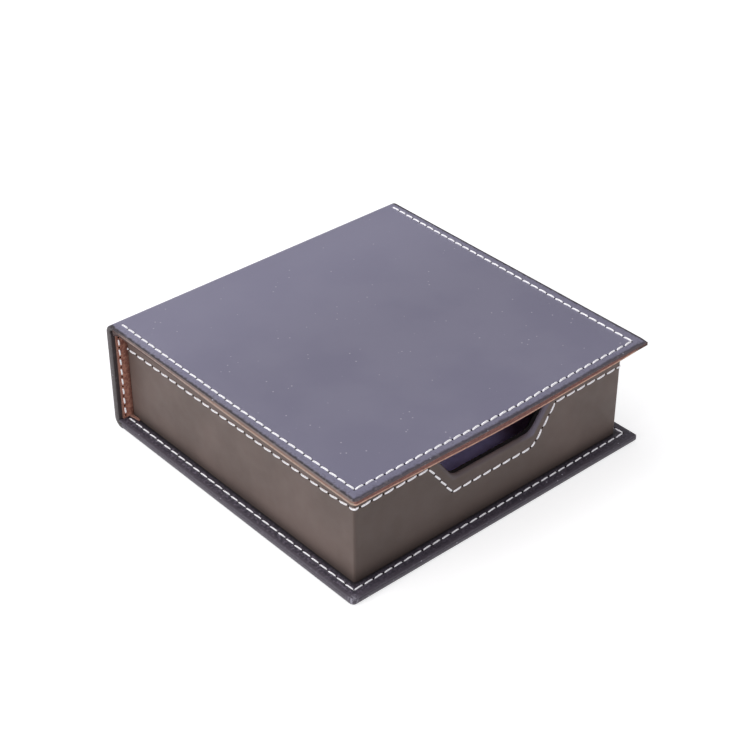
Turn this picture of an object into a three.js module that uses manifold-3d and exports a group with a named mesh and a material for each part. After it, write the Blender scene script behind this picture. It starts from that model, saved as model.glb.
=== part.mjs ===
// Leather memo pad box: a book-style case with a stitched lid, spine and base, and a glued-in tray for note sheets.
// Millimetres, +Z up. The origin is at the middle of the footprint, on the surface that the box stands on.
// The lid's free edge and the tray's finger notch face -Y, and the spine with its leather hinge stands at +Y.
import * as THREE from 'three';
import { mergeVertices } from 'three/addons/utils/BufferGeometryUtils.js';
import Module from 'manifold-3d';

const wasm = await Module();
wasm.setup();

// ---- The case ----
const caseWidth = 114;
const caseDepth = 113;
const caseHeight = 37;
const sideOverhang = 4.8; // lid and base stand out past the tray at its sides
const lidOverhang = 5.5; // and at its front, where the lid reaches a little further than the base
const baseOverhang = 4.8;
const coverLeather = 0.7;
const liningLeather = 1;
const hingeLining = 0.6;
const panelBoard = 0.95;
const baseBoard = 1.25;
const spineBoard = 1.2;
const spineTurnIn = 1.3; // the cover leather is folded round the spine's ends and shows this wide inside
const edgeRounding = 0.9; // wrapped edges of lid, base and spine
const liningInset = 0.7; // the lid's lining ends this far inside the wrapped edge
const liningRounding = 0.3;
const cornerRounding = 1.4; // the panels' free corners, seen from above
const foldRadius = 3; // outer radius of the fold from lid to spine, and from spine to base
const foldTail = 0.6; // the folds run on flat for this much before the stiff panels begin
const tongueLength = 4.2; // the spine lining's end that lies on the base beside the tray
const tongueWidth = 1.2;
const tongueThickness = 0.5;

// ---- The tray ----
const wallBoard = 1.8;
const wallLeather = 0.7;
const wallLining = 0.4;
const floorBoard = 1.5;
const floorLining = 0.4;
const lidGap = 0.3; // between the closed lid and the tray's rim

// ---- The finger notch ----
const notchTopHalf = 25.1;
const notchBottomHalf = 15.4;
const notchDepth = 13.4;
const notchCorner = 5;

// ---- Stitch rows ----
const stitchPitch = 3.5;
const stitchShare = 0.76; // of the pitch that shows as thread
const stitchRiseShare = 0.1; // of the pitch, at each end of a stitch
const threadWidth = 0.65;
const threadWeb = 0.12; // thread that stays down between two stitches
const threadSink = 0.3;
const threadProud = 0.2;
const threadClearance = 0.08;
const runOvershoot = threadWidth / 2; // each straight run fills the corner that it shares with the next
const lidSeamInset = 3.25;
const baseSeamInset = 3.15;
const spineSeamInset = 2.6;
const traySeamDrop = 5.75;
const notchSeamDrop = 5.1;
const notchSeamMargin = 3.5;
const seamEnd = 1.2; // a row stops this far before the edge of its leather

// ---- Fits ----
const glueLine = 0.05;
const cutOverrun = 2;
const weld = 0.001; // corners closer than this are one corner
const arcSteps = 5;
const edgeSteps = 3;

// ---- Sizes that follow ----
const lidThickness = coverLeather + panelBoard + liningLeather + 2 * glueLine;
const baseThickness = 2 * coverLeather + baseBoard + 2 * glueLine;
const spineThickness = coverLeather + spineBoard + liningLeather + 2 * glueLine;
const caseHalf = caseWidth / 2;
const caseFront = -caseDepth / 2;
const caseRear = caseDepth / 2;
const panelRear = caseRear - foldRadius - foldTail;
const foldLength = foldTail - glueLine;
const foldHeight = foldRadius + foldTail;
const spineInside = caseRear - spineThickness;

const trayHalf = caseHalf - sideOverhang;
const trayFront = caseFront + lidOverhang;
const baseFront = trayFront - baseOverhang;
const trayRear = spineInside - glueLine;
const trayMiddle = (trayFront + trayRear) / 2;
const trayDepth = trayRear - trayFront;
const trayFoot = baseThickness + glueLine;
const trayHeight = caseHeight - lidThickness - lidGap - trayFoot;
const leatherInset = wallLeather + glueLine;
const boardInset = leatherInset + wallBoard;
const wallThickness = boardInset + glueLine + wallLining;
const wallTop = trayHeight - leatherInset;
const floorTop = floorBoard + glueLine;

const up = new THREE.Vector3(0, 0, 1);
const down = new THREE.Vector3(0, 0, -1);
const forward = new THREE.Vector3(0, -1, 0);
const backward = new THREE.Vector3(0, 1, 0);

// ---- Finishes ----
function finish(color, roughness) {
  return new THREE.MeshStandardMaterial({ color, roughness, metalness: 0 });
}

const coverFinish = finish(0x5b5568, 0.5);
const liningFinish = finish(0x7a4a38, 0.75);
const boardFinish = finish(0x8f8a80, 0.95);
const trayFinish = finish(0x57494a, 0.6);
const trayInsideFinish = finish(0x231f22, 0.8);
const trayFloorFinish = finish(0x4c4263, 0.75);
const threadFinish = finish(0xf6f0ea, 0.7);

// ---- Solids ----
// A closed geometry with its shared corners merged, as a solid that can be joined and cut.
function solidOf(geometry) {
  const bare = geometry.clone();
  bare.deleteAttribute('normal');
  bare.deleteAttribute('uv');
  const merged = mergeVertices(bare);
  return new wasm.Manifold(new wasm.Mesh({
    numProp: 3,
    vertProperties: new Float32Array(merged.attributes.position.array),
    triVerts: new Uint32Array(merged.index.array),
  }));
}

function geometryOf(solid) {
  const { numProp, vertProperties, triVerts } = solid.asOriginal().simplify(weld).getMesh();
  const position = new Float32Array((vertProperties.length / numProp) * 3);
  for (let i = 0; i < position.length / 3; i += 1) {
    for (let axis = 0; axis < 3; axis += 1) {
      position[3 * i + axis] = vertProperties[numProp * i + axis];
    }
  }
  const geometry = new THREE.BufferGeometry();
  geometry.setAttribute('position', new THREE.BufferAttribute(position, 3));
  geometry.setIndex(new THREE.BufferAttribute(new Uint32Array(triVerts), 1));
  geometry.computeVertexNormals();
  return geometry;
}

function cut(solid, tools) {
  return tools.reduce((rest, tool) => rest.subtract(tool), solid);
}

function join(solids) {
  return solids.reduce((whole, solid) => whole.add(solid));
}

function blockGeometry([x0, x1], [y0, y1], [z0, z1]) {
  const block = new THREE.BoxGeometry(x1 - x0, y1 - y0, z1 - z0);
  return block.translate((x0 + x1) / 2, (y0 + y1) / 2, (z0 + z1) / 2);
}

function block(x, y, z) {
  return solidOf(blockGeometry(x, y, z));
}

// An outline drawn in Y and Z, extruded along X about the middle.
function extrudedAlongX(outline, width) {
  const geometry = new THREE.ExtrudeGeometry(outline, { depth: width, bevelEnabled: false, curveSegments: arcSteps });
  geometry.translate(0, 0, -width / 2);
  const frame = new THREE.Matrix4().makeBasis(backward, up, new THREE.Vector3(1, 0, 0));
  return geometry.applyMatrix4(frame);
}

// An outline drawn in X and Z, extruded towards +Y from y = 0.
function extrudedAlongY(outline, depth) {
  const geometry = new THREE.ExtrudeGeometry(outline, { depth, bevelEnabled: false, curveSegments: arcSteps });
  return geometry.rotateX(Math.PI / 2).translate(0, depth, 0);
}

// A panel outline from above: square at the spine, its two free corners rounded.
function panelOutline(half, front, rear, corner) {
  const outline = new THREE.Shape();
  outline.moveTo(half, rear);
  outline.lineTo(-half, rear);
  outline.lineTo(-half, front + corner);
  outline.quadraticCurveTo(-half, front, -half + corner, front);
  outline.lineTo(half - corner, front);
  outline.quadraticCurveTo(half, front, half, front + corner);
  return outline;
}

// A flat panel from z = 0 up, rounded along the top of its free edges and square at the spine.
function softPanel({ front, inset = 0, rear = panelRear, thickness, rounding }) {
  const overrun = cutOverrun + rounding;
  const outline = panelOutline(caseHalf - inset, front + inset, rear + overrun, cornerRounding);
  const geometry = new THREE.ExtrudeGeometry(outline, {
    depth: thickness + overrun - 2 * rounding,
    bevelThickness: rounding,
    bevelSize: rounding,
    bevelOffset: -rounding,
    bevelSegments: edgeSteps,
    curveSegments: edgeSteps,
  });
  geometry.translate(0, 0, rounding - overrun);
  const x = [-caseHalf - cutOverrun, caseHalf + cutOverrun];
  return solidOf(geometry).intersect(block(x, [caseFront - cutOverrun, rear], [0, thickness + cutOverrun]));
}

// The cover leather of a panel: a sheet with its edges turned down round the board, open below and at the spine.
function wrappedCover(front, thickness) {
  const shell = softPanel({ front, thickness, rounding: edgeRounding });
  const inside = caseHalf - coverLeather;
  const core = block(
    [-inside, inside],
    [front + coverLeather, panelRear + cutOverrun],
    [-cutOverrun, thickness - coverLeather],
  );
  return shell.subtract(core);
}

function turnedOver(solid) {
  return solid.rotate([0, 180, 0]);
}

// The bonded strip that bends round a fold, with its two flat tails; turn is 1 for the upper fold, -1 for the lower.
function foldOutline(outer, thickness, turn) {
  const inner = outer - thickness;
  const outline = new THREE.Shape();
  outline.moveTo(outer, -turn * foldLength);
  outline.lineTo(outer, 0);
  outline.absarc(0, 0, outer, 0, (turn * Math.PI) / 2, turn < 0);
  outline.lineTo(-foldLength, turn * outer);
  outline.lineTo(-foldLength, turn * inner);
  outline.lineTo(0, turn * inner);
  outline.absarc(0, 0, inner, (turn * Math.PI) / 2, 0, turn > 0);
  outline.lineTo(inner, -turn * foldLength);
  return outline;
}

// ---- Stitch rows ----
// Side view of one run of thread: a low web with a stitch standing up from it at each pitch.
function threadOutline(length, proud) {
  const count = Math.max(1, Math.round(length / stitchPitch));
  const pitch = length / count;
  const stitch = stitchShare * pitch;
  const rise = stitchRiseShare * pitch;
  const outline = new THREE.Shape();
  outline.moveTo(-runOvershoot, -threadSink);
  outline.lineTo(length + runOvershoot, -threadSink);
  outline.lineTo(length + runOvershoot, threadWeb - threadSink);
  for (let i = count - 1; i >= 0; i -= 1) {
    const start = (i + 1 / 2) * pitch - stitch / 2;
    outline.lineTo(start + stitch, threadWeb - threadSink);
    outline.lineTo(start + stitch - rise, proud);
    outline.lineTo(start + rise, proud);
    outline.lineTo(start, threadWeb - threadSink);
  }
  outline.lineTo(-runOvershoot, threadWeb - threadSink);
  return outline;
}

// Places a run drawn along x, with its top towards z, from one corner of a row to the next.
function placedRun(geometry, from, to, outward) {
  const along = to.clone().sub(from).normalize();
  const across = outward.clone().cross(along);
  const frame = new THREE.Matrix4().makeBasis(along, across, outward).setPosition(from);
  return solidOf(geometry.applyMatrix4(frame));
}

function eachRun(corners, build) {
  return join(corners.slice(1).map((to, i) => build(corners[i], to)));
}

// The whole thread of a row that runs through the given corners on a face.
function thread(corners, outward, proud = threadProud) {
  return eachRun(corners, (from, to) => {
    const run = extrudedAlongY(threadOutline(from.distanceTo(to), proud), threadWidth);
    return placedRun(run.translate(0, -threadWidth / 2, 0), from, to, outward);
  });
}

// The groove that the thread pulls into its leather.
function groove(corners, outward) {
  const half = threadWidth / 2 + threadClearance;
  const overshoot = runOvershoot + threadClearance;
  return eachRun(corners, (from, to) => {
    const length = from.distanceTo(to);
    const run = blockGeometry([-overshoot, length + overshoot], [-half, half], [-threadSink - glueLine, cutOverrun]);
    return placedRun(run, from, to, outward);
  });
}

// A three-sided row on a panel: left side, free edge, right side.
function panelRow(front, inset, z, rear) {
  const x = caseHalf - inset;
  const y = front + inset;
  return [[-x, rear], [-x, y], [x, y], [x, rear]].map(([px, py]) => new THREE.Vector3(px, py, z));
}

// ---- Placing ----
const box = new THREE.Group();
const lid = new THREE.Group();
const spine = new THREE.Group();
const base = new THREE.Group();
const tray = new THREE.Group();
lid.position.z = caseHeight - lidThickness;
spine.position.y = spineInside;
tray.position.set(0, trayMiddle, trayFoot);
box.add(lid, spine, base, tray);

function add(group, name, shape, material, [x, y, z] = [0, 0, 0]) {
  const geometry = shape.isBufferGeometry ? shape : geometryOf(shape);
  const mesh = new THREE.Mesh(geometry, material);
  mesh.name = name;
  mesh.position.set(x, y, z);
  group.add(mesh);
  return mesh;
}

// ---- Lid ----
function buildLid() {
  const boardBottom = liningLeather + glueLine;
  const coverHeight = lidThickness - boardBottom;
  const boardHalf = caseHalf - coverLeather - glueLine;
  const boardFront = caseFront + coverLeather + glueLine;
  const rowEnd = panelRear - seamEnd;
  const topRow = panelRow(caseFront, lidSeamInset, coverHeight, rowEnd);
  const underRow = panelRow(caseFront, lidSeamInset, 0, rowEnd);
  const cover = wrappedCover(caseFront, coverHeight);
  const lining = turnedOver(softPanel({
    front: caseFront, inset: liningInset, thickness: liningLeather, rounding: liningRounding,
  }));

  add(lid, 'lid_cover_leather', cut(cover, [groove(topRow, up)]), coverFinish, [0, 0, boardBottom]);
  add(lid, 'lid_board', blockGeometry([-boardHalf, boardHalf], [boardFront, panelRear], [0, panelBoard]),
    boardFinish, [0, 0, boardBottom]);
  add(lid, 'lid_lining', cut(lining.translate([0, 0, liningLeather]), [groove(underRow, down)]), liningFinish);
  add(lid, 'lid_thread_top', thread(topRow, up), threadFinish, [0, 0, boardBottom]);
  add(lid, 'lid_thread_under', thread(underRow, down), threadFinish);
}

// ---- Hinge and lower fold ----
function buildFolds() {
  const foldY = caseRear - foldRadius - spineInside;
  const hingeZ = caseHeight - foldRadius;
  const liningOuter = foldRadius - coverLeather - glueLine;
  const upper = foldOutline(foldRadius, coverLeather, 1);
  const upperLining = foldOutline(liningOuter, hingeLining, 1);
  const lower = foldOutline(foldRadius, coverLeather, -1);
  const liningWidth = caseWidth - 2 * (spineTurnIn + glueLine);
  add(spine, 'hinge_leather', extrudedAlongX(upper, caseWidth), coverFinish, [0, foldY, hingeZ]);
  add(spine, 'hinge_lining', extrudedAlongX(upperLining, liningWidth), liningFinish, [0, foldY, hingeZ]);
  add(spine, 'base_fold_leather', extrudedAlongX(lower, caseWidth), coverFinish, [0, foldY, foldRadius]);
}

// ---- Spine ----
// The spine's cover from above: one sheet with its ends folded in beside the lining.
function spineCoverOutline() {
  const inner = caseHalf - spineTurnIn;
  const sheet = spineThickness - coverLeather;
  const outline = new THREE.Shape();
  outline.moveTo(caseHalf, 0);
  outline.lineTo(caseHalf, spineThickness - edgeRounding);
  outline.quadraticCurveTo(caseHalf, spineThickness, caseHalf - edgeRounding, spineThickness);
  outline.lineTo(-caseHalf + edgeRounding, spineThickness);
  outline.quadraticCurveTo(-caseHalf, spineThickness, -caseHalf, spineThickness - edgeRounding);
  outline.lineTo(-caseHalf, 0);
  outline.lineTo(-inner, 0);
  outline.lineTo(-inner, sheet);
  outline.lineTo(inner, sheet);
  outline.lineTo(inner, 0);
  return outline;
}

// The end of the lining that lies on the base beside the tray, narrowing towards the front.
function tongueOutline(side) {
  const wall = trayHalf + glueLine;
  const outline = new THREE.Shape();
  outline.moveTo(side * wall, liningLeather);
  outline.lineTo(side * (wall + tongueWidth), liningLeather);
  outline.lineTo(side * (wall + tongueWidth), tongueWidth - tongueLength);
  outline.lineTo(side * (wall + tongueWidth / 2), -tongueLength);
  outline.lineTo(side * wall, -tongueLength);
  return outline;
}

function spineLining(rows) {
  const half = caseHalf - spineTurnIn - glueLine;
  const sheet = block([-half, half], [0, liningLeather], [trayFoot, caseHeight - foldHeight]);
  const tongues = [-1, 1].map((side) => {
    const geometry = new THREE.ExtrudeGeometry(tongueOutline(side), { depth: tongueThickness, bevelEnabled: false });
    return solidOf(geometry.translate(0, 0, trayFoot));
  });
  return cut(join([sheet, ...tongues]), rows.map((row) => groove(row, forward)));
}

function buildSpine() {
  const height = caseHeight - 2 * foldHeight;
  const boardHalf = caseHalf - spineTurnIn - glueLine;
  const boardFront = liningLeather + glueLine;
  const seamX = caseHalf - spineSeamInset;
  const row = (side, y) => [foldHeight + seamEnd, caseHeight - foldHeight - seamEnd]
    .map((z) => new THREE.Vector3(side * seamX, y, z));
  const innerRows = [row(-1, 0), row(1, 0)];
  const outerRows = [row(-1, spineThickness), row(1, spineThickness)];
  const sheet = new THREE.ExtrudeGeometry(spineCoverOutline(), {
    depth: height, bevelEnabled: false, curveSegments: edgeSteps,
  });
  const cover = solidOf(sheet.translate(0, 0, foldHeight));

  add(spine, 'spine_cover_leather', cut(cover, outerRows.map((each) => groove(each, backward))), coverFinish);
  add(spine, 'spine_board', blockGeometry([-boardHalf, boardHalf], [0, spineBoard], [0, height]),
    boardFinish, [0, boardFront, foldHeight]);
  add(spine, 'spine_lining', spineLining(innerRows), liningFinish);
  ['left', 'right'].forEach((side, i) => {
    add(spine, `spine_thread_inner_${side}`, thread(innerRows[i], forward), threadFinish);
    add(spine, `spine_thread_outer_${side}`, thread(outerRows[i], backward, 0), threadFinish);
  });
}

// ---- Base ----
function buildBase() {
  const coverTop = coverLeather + glueLine + baseBoard;
  const topSheet = coverTop + glueLine;
  const boardHalf = caseHalf - coverLeather - glueLine;
  const boardFront = baseFront + coverLeather + glueLine;
  const rowEnd = panelRear - seamEnd;
  const topRow = panelRow(baseFront, baseSeamInset, coverLeather, rowEnd);
  const underRow = panelRow(baseFront, baseSeamInset, 0, rowEnd);
  const cover = turnedOver(wrappedCover(baseFront, coverTop)).translate([0, 0, coverTop]);
  const top = softPanel({
    front: baseFront, rear: spineInside + liningLeather, thickness: coverLeather, rounding: liningRounding,
  });

  add(base, 'base_cover_leather', cut(cover, [groove(underRow, down)]), coverFinish);
  add(base, 'base_board', blockGeometry([-boardHalf, boardHalf], [boardFront, panelRear], [0, baseBoard]),
    boardFinish, [0, 0, coverLeather + glueLine]);
  add(base, 'base_top_leather', cut(top, [groove(topRow, up)]), coverFinish, [0, 0, topSheet]);
  add(base, 'base_thread_top', thread(topRow, up), threadFinish, [0, 0, topSheet]);
  add(base, 'base_thread_under', thread(underRow, down, 0), threadFinish);
}

// ---- Tray ----
// The finger notch seen from the front, grown evenly outwards, and open past the rim.
function notchOutline(grow) {
  const slope = new THREE.Vector2(notchTopHalf - notchBottomHalf, notchDepth);
  const lean = slope.x / slope.y;
  const bottom = trayHeight - notchDepth - grow;
  const top = trayHeight + cutOverrun;
  const sideways = grow * (slope.length() / slope.y);
  const halfAt = (z) => notchBottomHalf + sideways + (z - trayHeight + notchDepth) * lean;
  const tangent = (notchCorner + grow) * Math.tan(Math.atan2(slope.y, slope.x) / 2);
  const rise = (tangent * slope.y) / slope.length();
  const outline = new THREE.Shape();
  outline.moveTo(halfAt(top), top);
  outline.lineTo(-halfAt(top), top);
  outline.lineTo(-halfAt(bottom + rise), bottom + rise);
  outline.quadraticCurveTo(-halfAt(bottom), bottom, -halfAt(bottom) + tangent, bottom);
  outline.lineTo(halfAt(bottom) - tangent, bottom);
  outline.quadraticCurveTo(halfAt(bottom), bottom, halfAt(bottom + rise), bottom + rise);
  return outline;
}

function notch(grow) {
  const depth = wallThickness + 2 * cutOverrun;
  return solidOf(extrudedAlongY(notchOutline(grow), depth)).translate([0, -trayDepth / 2 - cutOverrun, 0]);
}

// A block inside the tray's outer faces by the given inset.
function trayBlock(inset, z0, z1) {
  const x = trayHalf - inset;
  const y = trayDepth / 2 - inset;
  return block([-x, x], [-y, y], [z0, z1]);
}

// One sheet round the four walls, turned in over their rim and over the edge of the notch.
function wallWrap(row) {
  const outside = trayBlock(0, 0, trayHeight).subtract(trayBlock(wallThickness, -cutOverrun, trayHeight + cutOverrun));
  const walls = trayBlock(wallLeather, -cutOverrun, trayHeight - wallLeather)
    .subtract(trayBlock(wallThickness + cutOverrun, -cutOverrun, trayHeight));
  const wrap = outside.subtract(notch(0)).subtract(walls.subtract(notch(wallLeather)));
  return cut(wrap, row);
}

// The row below the rim, dipping round the notch; its corners lie on the tray's outer faces.
function trayRow() {
  const lean = (notchTopHalf - notchBottomHalf) / notchDepth;
  const slopeLength = Math.hypot(notchTopHalf - notchBottomHalf, notchDepth);
  const sideways = notchSeamMargin * (slopeLength / notchDepth);
  const high = trayHeight - traySeamDrop;
  const low = trayHeight - notchDepth - notchSeamDrop;
  const halfAt = (z) => notchBottomHalf + sideways + (z - trayHeight + notchDepth) * lean;
  const end = trayHalf - runOvershoot;
  return [[-end, high], [-halfAt(high), high], [-halfAt(low), low], [halfAt(low), low], [halfAt(high), high],
    [end, high]].map(([x, z]) => new THREE.Vector3(x, -trayDepth / 2, z));
}

function buildTraySeam() {
  const front = trayRow();
  const left = new THREE.Vector3(-1, 0, 0);
  const right = new THREE.Vector3(1, 0, 0);
  const rear = trayDepth / 2 - seamEnd;
  const sideRow = (side) => [runOvershoot - trayDepth / 2, rear]
    .map((y) => new THREE.Vector3(side * trayHalf, y, front[0].z));
  const rows = [[front, forward], [sideRow(-1), left], [sideRow(1), right]];
  add(tray, 'tray_leather_wrap', wallWrap(rows.map(([row, outward]) => groove(row, outward))), trayFinish);
  add(tray, 'tray_thread', join(rows.map(([row, outward]) => thread(row, outward))), threadFinish);
}

// Four flat strips along the walls between two insets; the side strips run the full depth.
function wallStrips(outer, inner, z0, z1) {
  const x = trayHalf - outer;
  const y = trayDepth / 2 - outer;
  const thickness = inner - outer;
  const between = [-x + thickness + glueLine, x - thickness - glueLine];
  return {
    left: block([-x, -x + thickness], [-y, y], [z0, z1]),
    right: block([x - thickness, x], [-y, y], [z0, z1]),
    rear: block(between, [y - thickness, y], [z0, z1]),
    front: block(between, [-y, -y + thickness], [z0, z1]),
  };
}

function addStrips(name, strips, notchGrow, material) {
  for (const [side, strip] of Object.entries(strips)) {
    add(tray, `${name}_${side}`, side === 'front' ? strip.subtract(notch(notchGrow)) : strip, material);
  }
}

function buildTray() {
  const boards = wallStrips(leatherInset, boardInset, 0, wallTop);
  const linings = wallStrips(boardInset + glueLine, wallThickness, floorTop, wallTop);
  const floorInset = boardInset + glueLine;
  const liningInset = wallThickness + glueLine;
  addStrips('tray_board', boards, leatherInset, boardFinish);
  addStrips('tray_lining', linings, leatherInset, trayInsideFinish);
  add(tray, 'tray_floor_board', trayBlock(floorInset, 0, floorBoard), boardFinish);
  add(tray, 'tray_floor_lining', trayBlock(liningInset, floorTop, floorTop + floorLining), trayFloorFinish);
  buildTraySeam();
}

buildLid();
buildFolds();
buildSpine();
buildBase();
buildTray();

export default box;
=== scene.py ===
"""Leather memo pad box: the finished model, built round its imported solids.

Lengths are millimetres unless a name says otherwise, with +Z up, -Y towards the finger notch and +Y
towards the spine. Each mesh is turned to metres when its piece is placed.
"""
import logging
import math
from dataclasses import dataclass, field, replace
from enum import Enum
from typing import Callable, Iterable, Optional, Sequence

import bmesh
import bpy
from mathutils import Matrix, Vector


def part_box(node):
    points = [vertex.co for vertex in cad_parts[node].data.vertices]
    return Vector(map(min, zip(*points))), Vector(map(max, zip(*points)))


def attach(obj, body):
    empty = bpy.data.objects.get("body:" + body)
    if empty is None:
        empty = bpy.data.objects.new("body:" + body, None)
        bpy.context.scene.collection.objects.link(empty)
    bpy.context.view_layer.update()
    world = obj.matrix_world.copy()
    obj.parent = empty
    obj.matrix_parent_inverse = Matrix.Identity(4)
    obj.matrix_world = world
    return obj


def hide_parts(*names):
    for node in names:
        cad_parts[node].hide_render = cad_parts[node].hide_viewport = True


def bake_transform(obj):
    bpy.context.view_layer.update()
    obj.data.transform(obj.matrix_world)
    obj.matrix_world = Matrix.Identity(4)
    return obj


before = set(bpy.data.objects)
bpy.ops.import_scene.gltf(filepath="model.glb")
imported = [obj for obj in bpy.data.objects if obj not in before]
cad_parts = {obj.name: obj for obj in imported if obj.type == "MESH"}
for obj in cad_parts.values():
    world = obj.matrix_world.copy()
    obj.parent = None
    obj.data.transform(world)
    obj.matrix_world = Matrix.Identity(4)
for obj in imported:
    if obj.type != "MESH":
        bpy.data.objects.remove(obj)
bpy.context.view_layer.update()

MM = 0.001  # in metres
WELD = 0.0005  # corners closer than this are one corner

UP, DOWN = Vector((0, 0, 1)), Vector((0, 0, -1))
FORWARD, BACKWARD = Vector((0, -1, 0)), Vector((0, 1, 0))

log = logging.getLogger("memo_pad_box")

Mesh = bmesh.types.BMesh
Socket = bpy.types.NodeSocket
Material = bpy.types.Material
Band = tuple[float, float]
Row = tuple[tuple[float, float, int], ...]


class Body(Enum):
    """What a piece moves with."""

    CASE = "case"
    LID = "lid"
    HINGE = "hinge"


class Slot(Enum):
    """The record's finishes that pieces are made in."""

    COVER = "cover_leather"
    LINING = "lining_leather"
    TRAY = "tray_leather"
    WALL = "wall_lining"
    FLOOR = "floor_lining"
    THREAD = "seam_thread"


class Side(Enum):
    """Left and right, as the sign of x."""

    LEFT = -1
    RIGHT = 1


# ---------------------------------------------------------------------------------------------
# Node materials
# ---------------------------------------------------------------------------------------------
def linear(hex_colour: str) -> tuple[float, float, float, float]:
    """Turns an sRGB hex colour to the linear values that shaders use.

    Args:
        hex_colour: Six hex digits after a #.

    Returns:
        Red, green, blue and an alpha of 1.
    """
    parts = [int(hex_colour[i:i + 2], 16) / 255 for i in (1, 3, 5)]
    values = [c / 12.92 if c <= 0.04045 else ((c + 0.055) / 1.055) ** 2.4 for c in parts]
    return (*values, 1.0)


def add_node(
    tree: bpy.types.NodeTree, kind: str, settings: Optional[dict] = None, inputs: Optional[dict] = None
) -> bpy.types.Node:
    """Adds a node with its settings, values and links.

    Args:
        tree: The node tree that gets the node.
        kind: The node's type name, after ShaderNode.
        settings: Attribute values of the node.
        inputs: A value or an output socket for each named or numbered input.

    Returns:
        The new node.
    """
    node = tree.nodes.new("ShaderNode" + kind)
    for name, value in (settings or {}).items():
        setattr(node, name, value)
    for name, value in (inputs or {}).items():
        socket = node.inputs[name]
        if isinstance(value, Socket):
            tree.links.new(value, socket)
        else:
            socket.default_value = value
    return node


class Shader:
    """A material being made: its tree, its coordinates, its colour so far and the steps that change it."""

    def __init__(self, name: str, colour: str) -> None:
        """Starts a node material.

        Args:
            name: The material's name.
            colour: The colour that the others are laid on.
        """
        self.material = bpy.data.materials.new(name)
        self.material.use_nodes = True
        self.tree = self.material.node_tree
        self.tree.nodes.clear()
        coordinates = add_node(self.tree, "TexCoord")
        self.place = coordinates.outputs["Object"]
        self.uv = coordinates.outputs["UV"]
        self.colour: object = linear(colour)

    def add(
        self, kind: str, settings: Optional[dict] = None, inputs: Optional[dict] = None
    ) -> bpy.types.Node:
        """Adds a node to this material; see add_node."""
        return add_node(self.tree, kind, settings, inputs)

    def math(self, operation: str, *values: object) -> Socket:
        """Adds a sum or another operation on numbers.

        Args:
            operation: The Math node's operation.
            values: Numbers or sockets, in order.

        Returns:
            The result's socket.
        """
        return self.add("Math", {"operation": operation}, dict(enumerate(values))).outputs[0]

    def times(self, first: object, *others: object) -> object:
        """Multiplies values, one after another.

        Args:
            first: A number or a socket.
            others: Numbers or sockets.

        Returns:
            The product, or the first value where it stands alone.
        """
        for other in others:
            first = self.math("MULTIPLY", first, other)
        return first

    def plus(self, first: object, second: object) -> Socket:
        """Adds two values."""
        return self.math("ADD", first, second)

    def minus(self, first: object, second: object) -> Socket:
        """Takes the second value from the first."""
        return self.math("SUBTRACT", first, second)

    def larger(self, first: object, second: object) -> Socket:
        """The larger of two values."""
        return self.math("MAXIMUM", first, second)

    def ramp(self, value: object, low: float, high: float, start: float = 0.0, end: float = 1.0) -> Socket:
        """Turns a value between low and high smoothly to one between start and end."""
        limits = {"Value": value, "From Min": low, "From Max": high, "To Min": start, "To Max": end}
        return self.add("MapRange", {"interpolation_type": "SMOOTHSTEP"}, limits).outputs["Result"]

    def span(self, distance: Socket, low: float, high: float, start: float = 0.0, end: float = 1.0) -> Socket:
        """Like ramp, for a distance, with low and high in millimetres."""
        return self.ramp(distance, low * MM, high * MM, start, end)

    def noise(self, size: float, detail: float = 2.0, stretch: Sequence[float] = (1, 1, 1)) -> Socket:
        """Adds soft random blotches.

        Args:
            size: How wide a blotch is.
            detail: How many finer layers lie on it.
            stretch: How many times longer than wide a blotch is along x, y and z.

        Returns:
            The socket of a value about 0.5.
        """
        scale = tuple(1 / each for each in stretch)
        place = self.add("Mapping", {"vector_type": "POINT"}, {"Vector": self.place, "Scale": scale})
        inputs = {"Vector": place.outputs[0], "Scale": 1 / (size * MM), "Detail": detail}
        return self.add("TexNoise", {"noise_dimensions": "3D"}, inputs).outputs["Fac"]

    def patches(
        self, size: float, detail: float, low: float, high: float, start: float = 0.0, end: float = 1.0
    ) -> Socket:
        """Random patches with soft edges: start where the noise is low, and end where it is high."""
        return self.ramp(self.noise(size, detail), low, high, start, end)

    def cells(self, size: float, feature: str = "F1") -> Socket:
        """Adds a pattern of cells of a size and gives the distance from each cell's middle, in cell sizes."""
        inputs = {"Vector": self.place, "Scale": 1 / (size * MM), "Randomness": 1.0}
        return self.add("TexVoronoi", {"feature": feature}, inputs).outputs["Distance"]

    def blend(self, factor: object, first: object, second: object) -> Socket:
        """Mixes two colours, each given as a hex string, a linear value or a socket.

        Args:
            factor: The second colour's share.
            first: The first colour.
            second: The second colour.

        Returns:
            The mixed colour's socket.
        """
        colours = [linear(each) if isinstance(each, str) else each for each in (first, second)]
        settings = {"data_type": "RGBA", "blend_type": "MIX", "clamp_factor": True}
        return self.add("Mix", settings, {0: factor, 6: colours[0], 7: colours[1]}).outputs[2]

    def lay(self, colour: object, *weights: object) -> None:
        """Lays a colour over the colour so far, as strongly as the product of the weights."""
        self.colour = self.blend(self.times(*weights), self.colour, colour)

    def axis(self, name: str) -> Socket:
        """One of the object coordinates, X, Y or Z, in metres."""
        return self.add("SeparateXYZ", None, {0: self.place}).outputs[name]

    def across(self) -> Socket:
        """The distance from the box's middle plane, in metres."""
        return self.math("ABSOLUTE", self.axis("X"))

    def ahead(self) -> Socket:
        """The distance from the box's middle towards its front, in metres."""
        return self.times(self.axis("Y"), -1.0)

    def bump(self, height: object, size: float, below: Optional[object] = None) -> Socket:
        """Adds relief.

        Args:
            height: Its height at each place, as a share.
            size: The height that a share of 1 stands for.
            below: The normal of the relief that it lies on, if any.

        Returns:
            The normal's socket.
        """
        inputs = {"Height": height, "Strength": 1.0, "Distance": size * MM}
        if below is not None:
            inputs["Normal"] = below
        return self.add("Bump", None, inputs).outputs["Normal"]

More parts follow.
